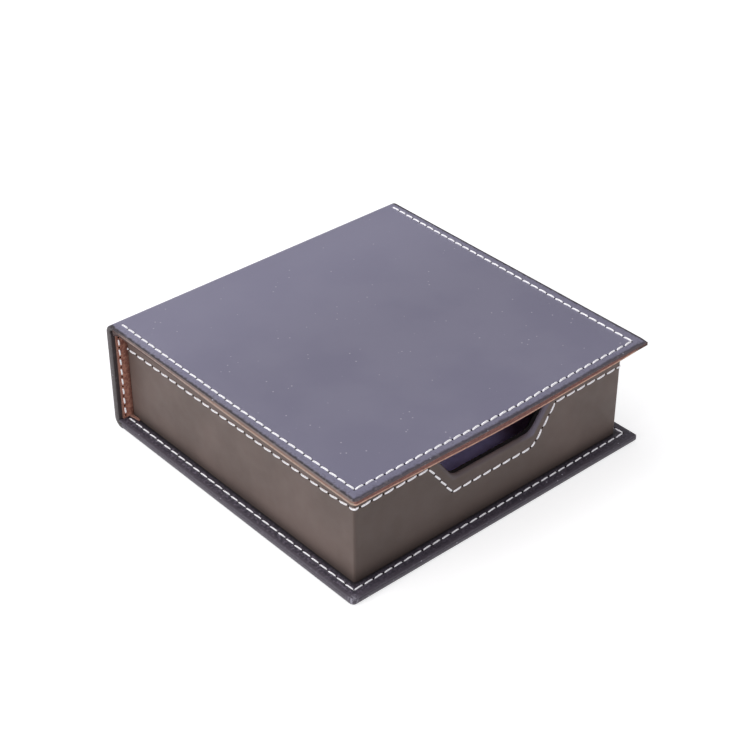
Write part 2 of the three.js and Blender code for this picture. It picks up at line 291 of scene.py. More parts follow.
    def finish(self, **inputs: object) -> Material:
        """Closes the material with its surface shader, in the colour so far.

        Args:
            inputs: The shader's other inputs, with underscores for the spaces in their names.

        Returns:
            The material.
        """
        named = {name.replace("_", " "): value for name, value in inputs.items()}
        surface = self.add("BsdfPrincipled", None, {"Base Color": self.colour, **named})
        self.add("OutputMaterial", None, {"Surface": surface.outputs["BSDF"]})
        return self.material


@dataclass(frozen=True)
class CoatedLeather:
    """Cover leather: split hide with a calendered coat, so it is smooth and shines softly at a slant.

    A band gives how far from the edge it starts and how far from the edge it is full.
    """

    name: str = "calendered coated split leather"
    # The default colour and cloud are light: they paint the sheen of the lid's top. The edge colour is the
    # leather's own dark colour, shown where that painted sheen stops.
    colour: str = "#7C798D"
    cloud: str = "#777489"
    edge: str = "#352E35"
    rub_and_glint: str = "#8E8990"
    bare: str = "#84736E"
    rear_sheen: str = "#8E8BA2"
    dust: str = "#B3B0BE"
    painted_shade: str = "#141013"
    half: float = 57.0
    front: float = -56.5
    cloud_size: float = 26.0
    pore: float = 0.42
    pore_depth: float = 0.008
    swell_size: float = 14.0
    swell_height: float = 0.05
    speck_spacing: float = 2.6
    ragged_by: float = 1.1
    ends_by: float = 0.3
    side_margin: Band = (3.0, 1.4)
    front_margin: Band = (2.8, 1.2)
    side_rim: Band = (1.35, 0.6)
    front_rim: Band = (1.2, 0.45)
    bare_band: Band = (0.5, 0.08)
    speckle: float = 0.0
    bare_side: float = 0.0
    rear_sheen_weight: float = 0.0
    # Where the tray's walls stand on the base, as the x of its side walls and how far ahead its front wall
    # lies; painted contact shadow falls round them.
    foot: Optional[tuple[float, float]] = None
    contact_shadow_width: float = 1.6
    # The band of y over which a turned-in strip gets painted shade.
    tuck_shade: Optional[Band] = None
    worn_corner: Optional[tuple[float, float, float]] = None

    def build(self) -> Material:
        """Makes the material: clouded colour, pale specks, a painted sheen towards the rear, a band of
        painted light along the edges (darker on the lid, lighter on the base), rubbed spots, dust, painted
        shade by place, and fine pores.

        Returns:
            The material.
        """
        s = Shader(self.name, self.colour)
        s.lay(self.cloud, s.patches(self.cloud_size, 3, 0.35, 0.65))
        # Pale specks, denser towards the left edge: partly the grain's own flecks, partly painted glints
        # where the light falls from the left.
        if self.speckle:
            left = s.span(s.axis("X"), -52, -55.2, 0.45, 1.0)
            s.lay(self.rub_and_glint, s.patches(0.9, 4, 0.45, 0.7), left, self.speckle)
            s.lay(self.rub_and_glint, s.patches(0.42, 1, 0.56, 0.68), 0.45 * self.speckle)
        # Painted sheen: the leather is made lighter towards the rear.
        if self.rear_sheen_weight:
            s.lay(self.rear_sheen, s.span(s.axis("Y"), -5, 50), self.rear_sheen_weight)
        self._rims(s)
        speck = s.ramp(s.cells(self.speck_spacing), 0.12, 0.05)
        s.lay(self.dust, speck, s.patches(9, 1, 0.49, 0.57), 0.85)
        self._by_place(s)
        pores = s.cells(self.pore, "SMOOTH_F1")
        rough = s.patches(5, 3, 0.3, 0.7, 0.42, 0.5)
        swell = s.bump(s.noise(self.swell_size, 1), self.swell_height)
        return s.finish(
            Roughness=rough, Normal=s.bump(pores, self.pore_depth, swell), IOR=1.5, Specular_IOR_Level=0.38,
            Coat_Weight=0.12, Coat_Roughness=0.35,
        )

    def _rims(self, s: Shader) -> None:
        """Adds the free edges: a ragged band in the edge colour, worn spots, and fibres at the very edge. The
        band is painted light: on the lid the painted sheen of the top gives way there to the leather's own
        dark colour, and on the base it is a painted highlight along the rounded edge.

        Args:
            s: The material being made.
        """

        def band(distance: Socket, edge: float, limits: Band) -> Socket:
            """How far a place lies within a band along an edge."""
            return s.span(distance, edge - limits[0], edge - limits[1])

        wide, deep = self.half, -self.front
        across, ahead = s.across(), s.ahead()
        ragged = s.times(s.minus(s.noise(1.3, 3), 0.5), self.ragged_by * MM)
        ends = s.span(across, 12, 50, 0.0, self.ends_by * MM)
        across_here = s.plus(across, ragged)
        ahead_here = s.plus(s.plus(ahead, ragged), ends)

        # Painted light along the edges: over the margin and the rim the colour goes to the edge colour,
        # darker on the lid and lighter on the base.
        margin = s.larger(band(across, wide, self.side_margin), band(ahead, deep, self.front_margin))
        s.lay(self.edge, margin, s.patches(0.7, 3, 0.48, 0.66), 0.3)
        rim = s.larger(
            band(across_here, wide, self.side_rim), s.times(band(ahead_here, deep, self.front_rim), 0.82)
        )
        s.lay(self.edge, rim)
        s.lay(self.rub_and_glint, rim, s.patches(1.1, 4, 0.54, 0.7), 0.3)
        if self.bare_side:
            start, full = self.bare_band
            left = s.times(s.span(s.axis("X"), start - wide, full - wide), self.bare_side)
            front = s.times(band(ahead_here, deep, (0.4, 0.0)), self.bare_side * 0.3)
            s.lay(self.bare, s.larger(left, front), s.span(s.axis("Y"), 52, 45))

    def _by_place(self, s: Shader) -> None:
        """Adds what lies at one place: painted contact shadow round the tray's foot, painted shade on a
        turned-in strip, a corner rubbed bare.

        Args:
            s: The material being made.
        """
        # Painted contact shadow on the base, darkest against the tray's foot.
        if self.foot:
            wall, front = (each * MM for each in self.foot)
            clear = s.larger(s.minus(s.across(), wall), s.minus(s.ahead(), front))
            s.lay(self.painted_shade, s.span(clear, self.contact_shadow_width, 0), 0.85)
        # Painted shade on a turned-in strip, deepening towards the lining.
        if self.tuck_shade:
            s.lay(self.painted_shade, s.span(s.axis("Y"), *self.tuck_shade, 0.0, 0.42))
        if self.worn_corner:
            corner = tuple(each * MM for each in self.worn_corner)
            gap = s.add("VectorMath", {"operation": "DISTANCE"}, {0: s.place, 1: corner}).outputs["Value"]
            torn = s.ramp(s.noise(0.5, 3, (1, 1, 4)), 0.42, 0.6)
            s.lay(self.dust, s.span(gap, 2.6, 0.6), torn, 0.6)


@dataclass(frozen=True)
class LiningLeather:
    """Lining leather: thin vegetable-tanned hide, buffed, so it is matt, warm brown and mottled."""

    name: str = "buffed brown lining leather"
    colour: str = "#BC8370"
    dark: str = "#935E50"
    pale: str = "#D2A898"
    tuck_shade_colour: str = "#55332B"
    tuck_shade: Optional[float] = None
    tuck_width: float = 1.2
    nap: float = 0.35
    nap_height: float = 0.035

    def build(self) -> Material:
        """Makes the material: mottled over a short nap, with painted shade where it lies behind the tray's
        wall.

        Returns:
            The material.
        """
        s = Shader(self.name, self.dark)
        s.lay(self.colour, s.patches(0.9, 4, 0.38, 0.62))
        s.lay(self.pale, s.patches(0.4, 3, 0.52, 0.72), 0.5)
        # Painted shade, deepening towards the tray's wall.
        if self.tuck_shade:
            s.lay(self.tuck_shade_colour, s.span(s.across(), self.tuck_shade + self.tuck_width, self.tuck_shade, 0.0, 0.5))
        nap = s.bump(s.noise(self.nap, 4), self.nap_height)
        return s.finish(Roughness=0.72, Normal=nap, IOR=1.45, Specular_IOR_Level=0.35, Sheen_Weight=0.1)


@dataclass(frozen=True)
class CutEdge:
    """The raw cut edge of lining leather: packed red-brown fibres, with the grain's pale line along its foot.

    The height over the edge's foot comes from the piece's own map, in millimetres.
    """

    name: str = "raw knife-cut leather edge"
    colour: str = "#996C65"
    dark: str = "#6A4A46"
    bleached: str = "#927C70"
    pale: str = "#DDB29E"
    side_pale: str = "#B7A194"
    rear_pale: str = "#A89C98"
    shade: str = "#3F3031"
    fibre: float = 0.07
    fibre_stretch: float = 14.0
    fibre_height: float = 0.03
    line: float = 0.3
    line_rise: float = 0.68
    line_width: float = 0.38
    side_widening: float = 0.2
    right_end: float = 50.5
    right_fade: float = 3.0
    fade: Band = (45.0, 51.5)

    def build(self) -> Material:
        """Makes the material: fine fibres along the edge, the pale line, and a shaded end at the spine.

        Returns:
            The material.
        """
        s = Shader(self.name, self.dark)
        fibre = s.noise(self.fibre, 3, (self.fibre_stretch, self.fibre_stretch, 1))
        s.lay(self.colour, s.ramp(fibre, 0.35, 0.65))
        side = s.span(s.axis("X"), -56.2, -56.7)
        rearward = s.times(side, s.span(s.axis("Y"), -12, 42))
        s.lay(self.bleached, side, s.patches(16, 2, 0.35, 0.65, 0.4, 0.8))

        rise = s.add("SeparateXYZ", None, {0: s.uv}).outputs["Y"]
        over = s.minus(rise, s.plus(s.times(rearward, self.line_rise), self.line))
        s.lay(self.shade, s.ramp(over, -0.22, -0.45), 0.75)
        wide = s.plus(s.times(side, self.side_widening), self.line_width)
        line = s.ramp(s.math("DIVIDE", s.math("ABSOLUTE", over), wide), 1.0, 0.3)
        broken = s.patches(3, 2, 0.2, 0.5, 0.65, 0.95), s.patches(0.9, 3, 0.34, 0.52, 0.55, 1.0)
        pale = s.blend(rearward, s.blend(side, self.pale, self.side_pale), self.rear_pale)
        s.lay(pale, line, *broken)

        right = s.span(s.axis("X"), self.right_end, self.right_end + self.right_fade)
        s.lay(self.shade, s.larger(s.span(s.axis("Y"), *self.fade), right), 0.85)
        normal = s.bump(fibre, self.fibre_height)
        return s.finish(Roughness=0.82, Normal=normal, IOR=1.45, Specular_IOR_Level=0.3)


@dataclass(frozen=True)
class TrayLeather:
    """Tray leather: thin brown-grey coated leather, ironed over board, so it is flat with a satin face."""

    name: str = "ironed brown-grey tray leather"
    colour: str = "#695A55"
    cloud: str = "#60524D"
    # The foot and front_shade colours are painted shade, and notch_highlight is a painted highlight.
    foot: str = "#2B2322"
    front_shade: str = "#4B3F3B"
    notch_highlight: str = "#77748C"
    foot_shading_band: Band = (8.5, 2.2)
    notch_bottom: float = 20.55
    notch_half: float = 15.4
    notch_slope: tuple[float, float] = (0.81, 0.586)
    notch_highlight_band: Band = (1.5, 0.4)
    pore: float = 0.38
    pore_depth: float = 0.008

    def build(self) -> Material:
        """Makes the material: faint clouds and pores under a satin coat, with painted shade along the foot
        and on the front wall, and a painted highlight on the notch's rim.

        Returns:
            The material.
        """
        s = Shader(self.name, self.colour)
        s.lay(self.cloud, s.patches(18, 3, 0.35, 0.65))
        # Painted shade: the front wall is made darker, most towards its left, for the lesser light that falls
        # on it.
        front = s.times(s.span(s.axis("Y"), -50.2, -50.9), s.span(s.axis("X"), 45, -20))
        s.lay(self.front_shade, front, 0.55)
        # Painted shade: darker towards the foot, where the dark base gives little light.
        low = s.times(s.span(s.axis("Z"), *self.foot_shading_band), 0.8)
        s.lay(self.foot, s.math("POWER", low, 1.6))
        # Painted highlight: a bluish reflection along the notch's rounded rim.
        s.lay(self.notch_highlight, self._notch_rim(s))
        pores = s.cells(self.pore, "SMOOTH_F1")
        rough = s.patches(4, 3, 0.3, 0.7, 0.46, 0.54)
        normal = s.bump(pores, self.pore_depth)
        return s.finish(Roughness=rough, Normal=normal, IOR=1.48, Specular_IOR_Level=0.35)

    def _notch_rim(self, s: Shader) -> Socket:
        """How strongly the bluish highlight is painted: along the notch's rim, most on its right flank.

        Args:
            s: The material being made.

        Returns:
            The socket of a share from 0 to 1.
        """
        steep, flat = self.notch_slope
        up = s.minus(s.axis("Z"), self.notch_bottom * MM)
        beside = s.minus(s.across(), self.notch_half * MM)
        flank = s.minus(s.times(beside, steep), s.times(up, flat))
        away = s.larger(s.times(up, -1.0), flank)
        ahead = s.span(s.axis("Y"), -48, -49.5)
        right = s.span(s.axis("X"), 9, 17, 0.14, 0.55)
        return s.times(s.span(away, *self.notch_highlight_band), ahead, right)


@dataclass(frozen=True)
class ShadedHoleWall:
    """The wall of a needle hole: pierced leather, matt, painted near-black for the shade deep in the hole."""

    name: str = "pierced leather of the needle holes"
    colour: str = "#2A2224"
    fibre: str = "#171214"

    def build(self) -> Material:
        """Makes the material: fine torn fibres.

        Returns:
            The material.
        """
        s = Shader(self.name, self.colour)
        torn = s.noise(0.12, 3)
        s.lay(self.fibre, s.ramp(torn, 0.35, 0.65))
        return s.finish(Roughness=0.95, Normal=s.bump(torn, 0.03), Specular_IOR_Level=0.1)


@dataclass(frozen=True)
class BondedThread:
    """Seam thread: white bonded three-ply polyester, with a faint painted glow so that it stays white in
    shade.
    """

    name: str = "bonded white polyester thread"
    colour: str = "#FDFCFE"
    shade: str = "#EDE8EA"
    painted_glow: str = "#F2F0FF"
    twist: float = 0.75
    plies: int = 3
    ply_depth: float = 0.05

    def build(self) -> Material:
        """Makes the material: plies as slanted bands round the thread, read from its own map, and a faint
        painted glow.

        Returns:
            The material.
        """
        s = Shader(self.name, self.shade)
        parts = s.add("SeparateXYZ", None, {0: s.uv})
        turn = s.plus(parts.outputs["X"], s.math("DIVIDE", parts.outputs["Y"], self.twist * self.plies))
        wave = s.math("ABSOLUTE", s.math("SINE", s.times(turn, math.pi * self.plies)))
        s.lay(self.colour, s.ramp(wave, 0.0, 0.45))
        # The emission is a painted glow that keeps the thread white in shade.
        return s.finish(
            Roughness=0.55, Normal=s.bump(wave, self.ply_depth), IOR=1.5, Sheen_Weight=0.2,
            Emission_Color=linear(self.painted_glow), Emission_Strength=0.15,
        )


@dataclass(frozen=True)
class Greyboard:
    """Bookbinder's greyboard: pressed waste-paper pulp, so it is matt, with flecks and short fibres."""

    name: str = "pressed grey pulp board"
    colour: str = "#8F8A80"
    fleck: str = "#6F6A62"

    def build(self) -> Material:
        """Makes the material: flecks and fibres in a grey pulp.

        Returns:
            The material.
        """
        s = Shader(self.name, self.colour)
        fibre = s.noise(0.4, 4, (4, 4, 1))
        s.lay(self.fleck, s.ramp(fibre, 0.5, 0.68))
        return s.finish(Roughness=0.92, Normal=s.bump(fibre, 0.04), IOR=1.4)


@dataclass(frozen=True)
class FlockedPaper:
    """Tray lining: paper with a short rayon flock, so it is matt and dark with a soft sheen at a slant."""

    name: str
    colour: str
    shade: str
    sheen: float
    tint: str

    def build(self) -> Material:
        """Makes the material: patches where the pile leans, over a fine pile.

        Returns:
            The material.
        """
        s = Shader(self.name, self.colour)
        s.lay(self.shade, s.patches(7, 3, 0.35, 0.65))
        return s.finish(
            Roughness=0.9, Normal=s.bump(s.noise(0.18, 2), 0.05), IOR=1.4,
            Sheen_Weight=self.sheen, Sheen_Roughness=0.4, Sheen_Tint=linear(self.tint),
        )


class Finishes:
    """Every material of the box, made once and shared by its pieces."""

    def __init__(self) -> None:
        """Builds the materials."""
        # The lid takes the light default colours, which paint the sheen of its top, and a painted sheen that
        # grows towards the rear.
        self.lid = CoatedLeather(bare_side=0.75, rear_sheen_weight=0.5).build()
        # The turned-in strips get painted shade towards the lining.
        self.folded = CoatedLeather(
            "calendered coated split leather, pared and turned in", "#4E4547", "#463D40", "#4A4244",
            tuck_shade=(55.5, 54.5),
        ).build()
        # The base's copy of the same leather is far darker, painting the shade that the lid and tray cast
        # over it; it also gets a painted highlight along its edge, painted contact shadow round the tray's
        # foot, and pale specks that are partly painted glints.
        self.base = CoatedLeather(
            "calendered coated split leather of the base", "#3B3641", "#34303A", "#4C4650", "#6C6574",
            front=-55.8, speckle=1.0, foot=(52.2, 51.0), worn_corner=(-56.6, -55.4, 1.6),
        ).build()
        self.lining = LiningLeather().build()
        # The spine's lining gets painted shade beside the tray's walls.
        self.spine_lining = LiningLeather("buffed brown lining leather of the spine", tuck_shade=52.2).build()
        self.cut_edge = CutEdge().build()
        self.spine_edge = CutEdge(
            "raw knife-cut leather edge of the spine", bleached="#6E534A", pale="#8E6A5E",
            side_pale="#8E6A5E", line=0.0, line_rise=0.0, right_end=90.0, fade=(90.0, 91.0),
        ).build()
        self.tray = TrayLeather().build()
        self.thread = BondedThread().build()
        self.hole = ShadedHoleWall().build()
        self.board = Greyboard().build()
        self.walls = FlockedPaper(
            "near-black flocked wall lining", "#1F1A1D", "#181417", sheen=0.05, tint="#6A6070"
        ).build()
        self.floor = FlockedPaper(
            "blue-violet flocked floor lining", "#BCB4F0", "#AAA2DE", sheen=0.15, tint="#A8A0E0"
        ).build()


# ---------------------------------------------------------------------------------------------
# Mesh tools
# ---------------------------------------------------------------------------------------------
@dataclass(frozen=True)
class Box:
    """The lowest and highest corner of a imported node."""

    low: Vector
    high: Vector

    @classmethod
    def of(cls, node: str) -> "Box":
        """Reads a node's box from the frame."""
        low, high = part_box(node)
        return cls(low / MM, high / MM)


def smoothstep(value: float) -> float:
    """Rises smoothly from 0 to 1 as value does, and stays level outside that."""
    t = min(1.0, max(0.0, value))
    return t * t * (3 - 2 * t)


def right_angle(steps: int) -> list[float]:
    """The angles of a quarter turn in equal steps, both ends included, in radians."""
    return [math.pi / 2 * i / steps for i in range(steps + 1)]


def quarter(radius: float, steps: int) -> list[tuple[float, float]]:
    """Points of a quarter circle as (sideways, down), from its top to its side, without the first."""
    return [(radius * math.sin(a), radius * (1 - math.cos(a))) for a in right_angle(steps)[1:]]


def spread(breaks: Iterable[float], step: float) -> list[float]:
    """Lines at each given place, with more between them where they lie wider apart than step.

    Args:
        breaks: Places that each get a line.
        step: The widest gap allowed.

    Returns:
        The lines in rising order.
    """
    ordered = sorted({round(each, 4) for each in breaks})
    lines = ordered[:1]
    for place in ordered[1:]:
        first = lines[-1]
        gap = place - first
        count = max(1, math.ceil(gap / step - 1e-6))
        lines += [first + gap * (i + 1) / count for i in range(count)]
    return lines


def grid_between(bm: Mesh, columns: int, rows: int) -> dict[tuple[int, int], bmesh.types.BMVert]:
    """Adds a grid and finds its corners by column and row.

    Args:
        bm: The mesh that gets the grid.
        columns: The number of faces across.
        rows: The number of faces along.

    Returns:
        Each corner by its column and row number.
    """
    made = bmesh.ops.create_grid(bm, x_segments=columns, y_segments=rows, size=1.0)["verts"]
    return {(round((v.co.x + 1) / 2 * columns), round((v.co.y + 1) / 2 * rows)): v for v in made}


def add_block(bm: Mesh, low: Sequence[float], high: Sequence[float]) -> None:
    """Adds a block.

    Args:
        bm: The mesh that gets it.
        low: Its lowest corner.
        high: Its highest corner.
    """
    made = bmesh.ops.create_cube(bm, size=1.0)["verts"]
    size = Matrix.Diagonal((*(b - a for a, b in zip(low, high)), 1))
    middle = Vector([(a + b) / 2 for a, b in zip(low, high)])
    bmesh.ops.transform(bm, matrix=Matrix.Translation(middle) @ size, verts=made)


def round_off(bm: Mesh, edges: Sequence[bmesh.types.BMEdge], radius: float, segments: int) -> None:
    """Rounds edges of a mesh.

    Args:
        bm: The mesh.
        edges: The edges.
        radius: How far from each edge the rounding starts.
        segments: The number of faces that round each edge.
    """
    bmesh.ops.bevel(
        bm, geom=edges, offset=radius, affect="EDGES", segments=segments, profile=0.5, material=-1,
        offset_type="OFFSET",
    )


def turned_over(bm: Mesh, height: float) -> Mesh:
    """Turns a mesh upside down about the y axis, so that its top becomes its underside.

    Args:
        bm: The mesh.
        height: The height of the axis.

    Returns:
        The same mesh.
    """
    up, turn = Matrix.Translation((0, 0, height)), Matrix.Rotation(math.pi, 4, "Y")
    bmesh.ops.transform(bm, matrix=up @ turn @ Matrix.Translation((0, 0, -height)), verts=bm.verts[:])
    return bm


def add_object(name: str, data: bpy.types.ID) -> bpy.types.Object:
    """Adds an object to the scene.

    Args:
        name: Its name.
        data: Its mesh, light or camera.

    Returns:
        The object.
    """
    made = bpy.data.objects.new(name, data)
    bpy.context.scene.collection.objects.link(made)
    return made


def new_object(bm: Mesh, name: str) -> bpy.types.Object:
    """Turns a mesh in millimetres to an object in metres.

    Args:
        bm: The mesh, which is freed.
        name: The object's name.

    Returns:
        The object, linked to the scene.
    """
    bmesh.ops.transform(bm, matrix=Matrix.Scale(MM, 4), verts=bm.verts[:])
    mesh = bpy.data.meshes.new(name)
    bm.to_mesh(mesh)
    bm.free()
    return add_object(name, mesh)


def apply_modifiers(piece: bpy.types.Object) -> None:
    """Replaces a piece's mesh by what its modifiers make of it.

    Args:
        piece: The object.
    """
    graph = bpy.context.evaluated_depsgraph_get()
    mesh = bpy.data.meshes.new_from_object(piece.evaluated_get(graph))
    piece.modifiers.clear()
    piece.data = mesh


def cut_with(piece: bpy.types.Object, cutter: Mesh, lining: Material) -> None:
    """Cuts a closed shape out of a piece.

    Args:
        piece: The object that is cut, in metres.
        cutter: The shape, in millimetres.
        lining: The material of the faces that the cut leaves.
    """
    tool = new_object(cutter, "cutter")
    tool.data.materials.append(lining)
    modifier = piece.modifiers.new("cut", "BOOLEAN")
    modifier.operation = "DIFFERENCE"
    modifier.solver = "EXACT"
    modifier.use_self = True
    modifier.material_mode = "TRANSFER"
    modifier.object = tool
    apply_modifiers(piece)
    bpy.data.objects.remove(tool)


@dataclass
class Piece:
    """A finished piece of the box, and what it stands for."""

    name: str
    body: Body
    slot: Slot
    materials: Sequence[Material]
    replaces: Sequence[str] = ()
    sharp_degrees: float = 35.0
    pierced: Optional[Material] = None

    def place(self, bm: Mesh, cutter: Optional[Mesh] = None) -> bpy.types.Object:
        """Places the piece, rides it on its body unless it belongs to the hinge, and reports it.

        Args:
            bm: Its mesh, in millimetres.
            cutter: A shape to cut out of it, in millimetres.

        Returns:
            The placed object.
        """
        bmesh.ops.remove_doubles(bm, verts=bm.verts[:], dist=WELD)
        bmesh.ops.recalc_face_normals(bm, faces=bm.faces[:])
        made = new_object(bm, self.name)
        for material in self.materials:
            made.data.materials.append(material)
        if cutter is not None:
            cut_with(made, cutter, self.pierced)
        made.data.shade_smooth()
        made.data.set_sharp_from_angle(angle=math.radians(self.sharp_degrees))
        if self.replaces:
            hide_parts(*self.replaces)
        if self.body is Body.HINGE:
            Hinge.bend(made)
        else:
            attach(made, self.body.value)
        log.info("%s: %d faces, rides on %s", self.name, len(made.data.polygons), self.body.value)
        return made


# ---------------------------------------------------------------------------------------------
# Stitching
# ---------------------------------------------------------------------------------------------
@dataclass(frozen=True)
class Stitching:
    """How a seam's thread lies: its sizes, how its stitches dive at their ends, and its needle holes."""

    width: float = 0.56
    height: float = 0.5
    crest: float = 0.37
    dive: float = 0.46
    arch: float = 0.3
    bluntness: int = 8
    gap: float = 0.42
    lean_degrees: float = 5.0
    sides: int = 6
    rings: int = 12
    hole: float = 0.36
    hole_depth: float = 0.55
    hole_sides: int = 8
    hole_taper: tuple[float, float] = (0.6, 1.15)
    channel_play: float = 0.2
    clearance: float = 0.5


FLUSH = Stitching(width=0.6, height=0.34, crest=-0.02, dive=0.3)  # lies in a channel, level with the leather
CHANNEL = 0.42  # how deep that channel is
SHORT = Stitching(width=0.54, gap=1.15)  # short stitches, far apart


@dataclass(frozen=True)
class SeamRun:
    """A straight run of stitches from one needle hole to another."""

    start: Vector
    end: Vector
    outward: Vector
    count: int

    @property
    def along(self) -> Vector:
        """The run's direction."""
        return (self.end - self.start).normalized()

    @property
    def pitch(self) -> float:
        """The distance from one needle hole to the next."""
        return (self.end - self.start).length / self.count

    def holes(self) -> list[Vector]:
        """The needle holes, ends included."""
        return [self.start + self.along * self.pitch * i for i in range(self.count + 1)]

    def frame(self, middle: Vector, lean: float = 0.0) -> Matrix:
        """Axes at a point of the run: x along it, y across it and z outwards.

        Args:
            middle: The point.
            lean: How far the axes are turned about z, in radians.

        Returns:
            The matrix that takes a shape drawn at the origin there.
        """
        across = self.outward.cross(self.along)
        axes = Matrix((self.along, across, self.outward)).transposed().to_4x4()
        return Matrix.Translation(middle) @ axes @ Matrix.Rotation(lean, 4, "Z")


@dataclass
class Seam:
    """The stitches of one or more runs, and the needle holes that they pass through."""

    runs: Sequence[SeamRun]
    style: Stitching = Stitching()

    @classmethod
    def through(cls, places: Row, height: float, outward: Vector, style: Stitching = Stitching()) -> "Seam":
        """A seam on a level face through given needle holes.

        Args:
            places: The x and y of each bend, and the number of stitches from there to the next.
            height: The face's height.
            outward: Where the face points.
            style: How the thread lies.

        Returns:
            The seam.
        """
        points = [Vector((x, y, height)) for x, y, _ in places]
        numbers = [number for _, _, number in places]
        return cls([SeamRun(p, q, outward, n) for p, q, n in zip(points, points[1:], numbers)], style)

    def stitches(self) -> Mesh:
        """Makes every stitch as a closed strand that arches from hole to hole.

        Returns:
            The mesh, with the thread's own map.
        """
        bm = bmesh.new()
        layer = bm.loops.layers.uv.new("thread")
        for run in self.runs:
            points = run.holes()
            for first, second in zip(points, points[1:]):
                self._stitch(bm, layer, run, (first + second) / 2)
        return bm

    def _stitch(self, bm: Mesh, layer: object, run: SeamRun, middle: Vector) -> None:
        """Adds one stitch.

        Args:
            bm: The mesh that gets it.
            layer: The thread's map.
            run: The run that it belongs to.
            middle: The point of the seam line at its middle.
        """
        style = self.style
        strand = bmesh.ops.create_uvsphere(
            bm, u_segments=style.sides, v_segments=style.rings, radius=1.0
        )["verts"]
        reach = (run.pitch - style.gap) / 2
        spot = {}
        for vert in strand:
            x, y, t = vert.co
            girth = math.hypot(x, y)
            turn = math.atan2(x, -y) / math.tau
            end = abs(t) ** style.bluntness
            fullness = (1 - end) ** 0.5
            across, up = (x / girth, y / girth) if girth > 1e-6 else (0.0, 0.0)
            fall = style.dive * (style.arch * t * t + (1 - style.arch) * end)
            side = across * style.width / 2 * fullness
            rise = style.crest - style.height / 2 - fall
            vert.co = (t * reach, side, rise + up * style.height / 2 * fullness)
            spot[vert] = (turn, t * reach)
        for face in {f for v in strand for f in v.link_faces}:
            for loop in face.loops:
                loop[layer].uv = spot[loop.vert]
        bmesh.ops.transform(bm, matrix=run.frame(middle, math.radians(style.lean_degrees)), verts=strand)

    def punches(self, channel: float = 0.0, rear: float = math.inf) -> Mesh:
        """Makes the shapes that cut the needle holes.

        Args:
            channel: Depth of a channel along the runs, or 0 for none.
            rear: Holes that lie further back than this are left to the next piece.

        Returns:
            The mesh of all of them.
        """
        bm = bmesh.new()
        style = self.style
        clear = style.clearance
        narrow, wide = style.hole_taper
        for run in self.runs:
            for hole in run.holes():
                if hole.y > rear:
                    continue
                made = bmesh.ops.create_cone(
                    bm, cap_ends=True, segments=style.hole_sides, radius1=style.hole * narrow,
                    radius2=style.hole * wide, depth=style.hole_depth + clear,
                )["verts"]
                bmesh.ops.translate(bm, vec=(0, 0, (clear - style.hole_depth) / 2), verts=made)
                bmesh.ops.transform(bm, matrix=run.frame(hole), verts=made)
            if channel:
                made = bmesh.ops.create_cube(bm, size=1.0)["verts"]
                length = (run.end - run.start).length + style.width
                size = Matrix.Diagonal((length, style.width + style.channel_play, channel + clear, 1))
                lift = Matrix.Translation((0, 0, (clear - channel) / 2))
                middle = run.frame((run.start + run.end) / 2)
                bmesh.ops.transform(bm, matrix=middle @ lift @ size, verts=made)
        return bm


def sew(name: str, node: str, strands: Mesh, thread: Material, body: Body = Body.CASE) -> None:
    """Places the stitches that stand for a node's thread.

    Args:
        name: The piece's name.
        node: The node that they replace.
        strands: The stitches.
        thread: Their material.
        body: What they move with.
    """
    Piece(name, body, Slot.THREAD, [thread], [node], sharp_degrees=60).place(strands)


# ---------------------------------------------------------------------------------------------
# Flat panels
# ---------------------------------------------------------------------------------------------
@dataclass(frozen=True)
class SewnRelief:
    """How a sewn panel's face falls: a valley along the seam and margins that are pressed thinner outside it.

    The front margin is pressed most at its ends, where the side seams cross it.
    """

    half: float
    front: float
    rear: float
    side_seam: float
    front_seam: float
    left: float = 0.2
    right: float = 0.2
    middle: float = 0.2
    ends: float = 0.2
    left_rear: float = 0.0
    right_end: float = 0.0
    valley: float = 0.12
    valley_width: float = 0.6
    swell: float = 0.0
    swell_margin: float = 15.0
    rear_fade: float = 3.5
    thinnest_at: float = -6.0
    right_from: float = 42.0
    right_width: float = 13.0
    rear_from: float = -30.0
    rear_width: float = 70.0
    flip: int = 1
    row: Row = ()

    def mirrored(self) -> "SewnRelief":
        """The same relief with left and right changed, for a sheet that is turned over."""
        return replace(self, flip=-self.flip)

    def _from_row(self, x: float, y: float) -> float:
        """Finds the nearest part of the seam.

        Args:
            x: Across the panel.
            y: Along it.

        Returns:
            The distance from the point to it.
        """
        point = Vector((x, y))
        distances = []
        for (x0, y0, _), (x1, y1, _) in zip(self.row, self.row[1:]):
            start, along = Vector((x0, y0)), Vector((x1 - x0, y1 - y0))
            share = min(1.0, max(0.0, (point - start).dot(along) / along.length_squared))
            distances.append((point - start - along * share).length)
        return min(distances)

    def _board(self, x: float, y: float) -> float:
        """How the board under the leather undulates: slow waves between about -1.5 and 1.5."""
        broad = math.sin(x * 0.061 + 0.8) * math.sin(y * 0.053 + 0.4)
        return broad + 0.5 * math.sin(x * 0.11 - y * 0.09)

    def height(self, x: float, y: float) -> float:
        """The height of the face at a point, against a level one.

        Args:
            x: Across the panel.
            y: Along it.

        Returns:
            The height, below 0 where the face sinks.
        """
        x *= self.flip
        left, right, ahead = self.half + x, self.half - x, y - self.front
        inside = min(left - self.side_seam, right - self.side_seam, ahead - self.front_seam)
        from_row = self._from_row(x, y) if self.row else inside
        dip = self.valley * math.exp(-((from_row / self.valley_width) ** 2))
        near_end = smoothstep(abs(x - self.thinnest_at) / self.half)
        right_end = self.right_end * smoothstep((x - self.right_from) / self.right_width)
        front_roll = self.middle + (self.ends - self.middle) * near_end + right_end
        left_roll = self.left + self.left_rear * smoothstep((y - self.rear_from) / self.rear_width)
        margin = max(
            left_roll * smoothstep(1 - left / self.side_seam),
            self.right * smoothstep(1 - right / self.side_seam),
            front_roll * smoothstep(1 - ahead / self.front_seam),
        )
        board = self.swell * (1 + self._board(x, y)) * smoothstep(inside / self.swell_margin)
        return -(dip + margin + board) * smoothstep((self.rear - y) / self.rear_fade)


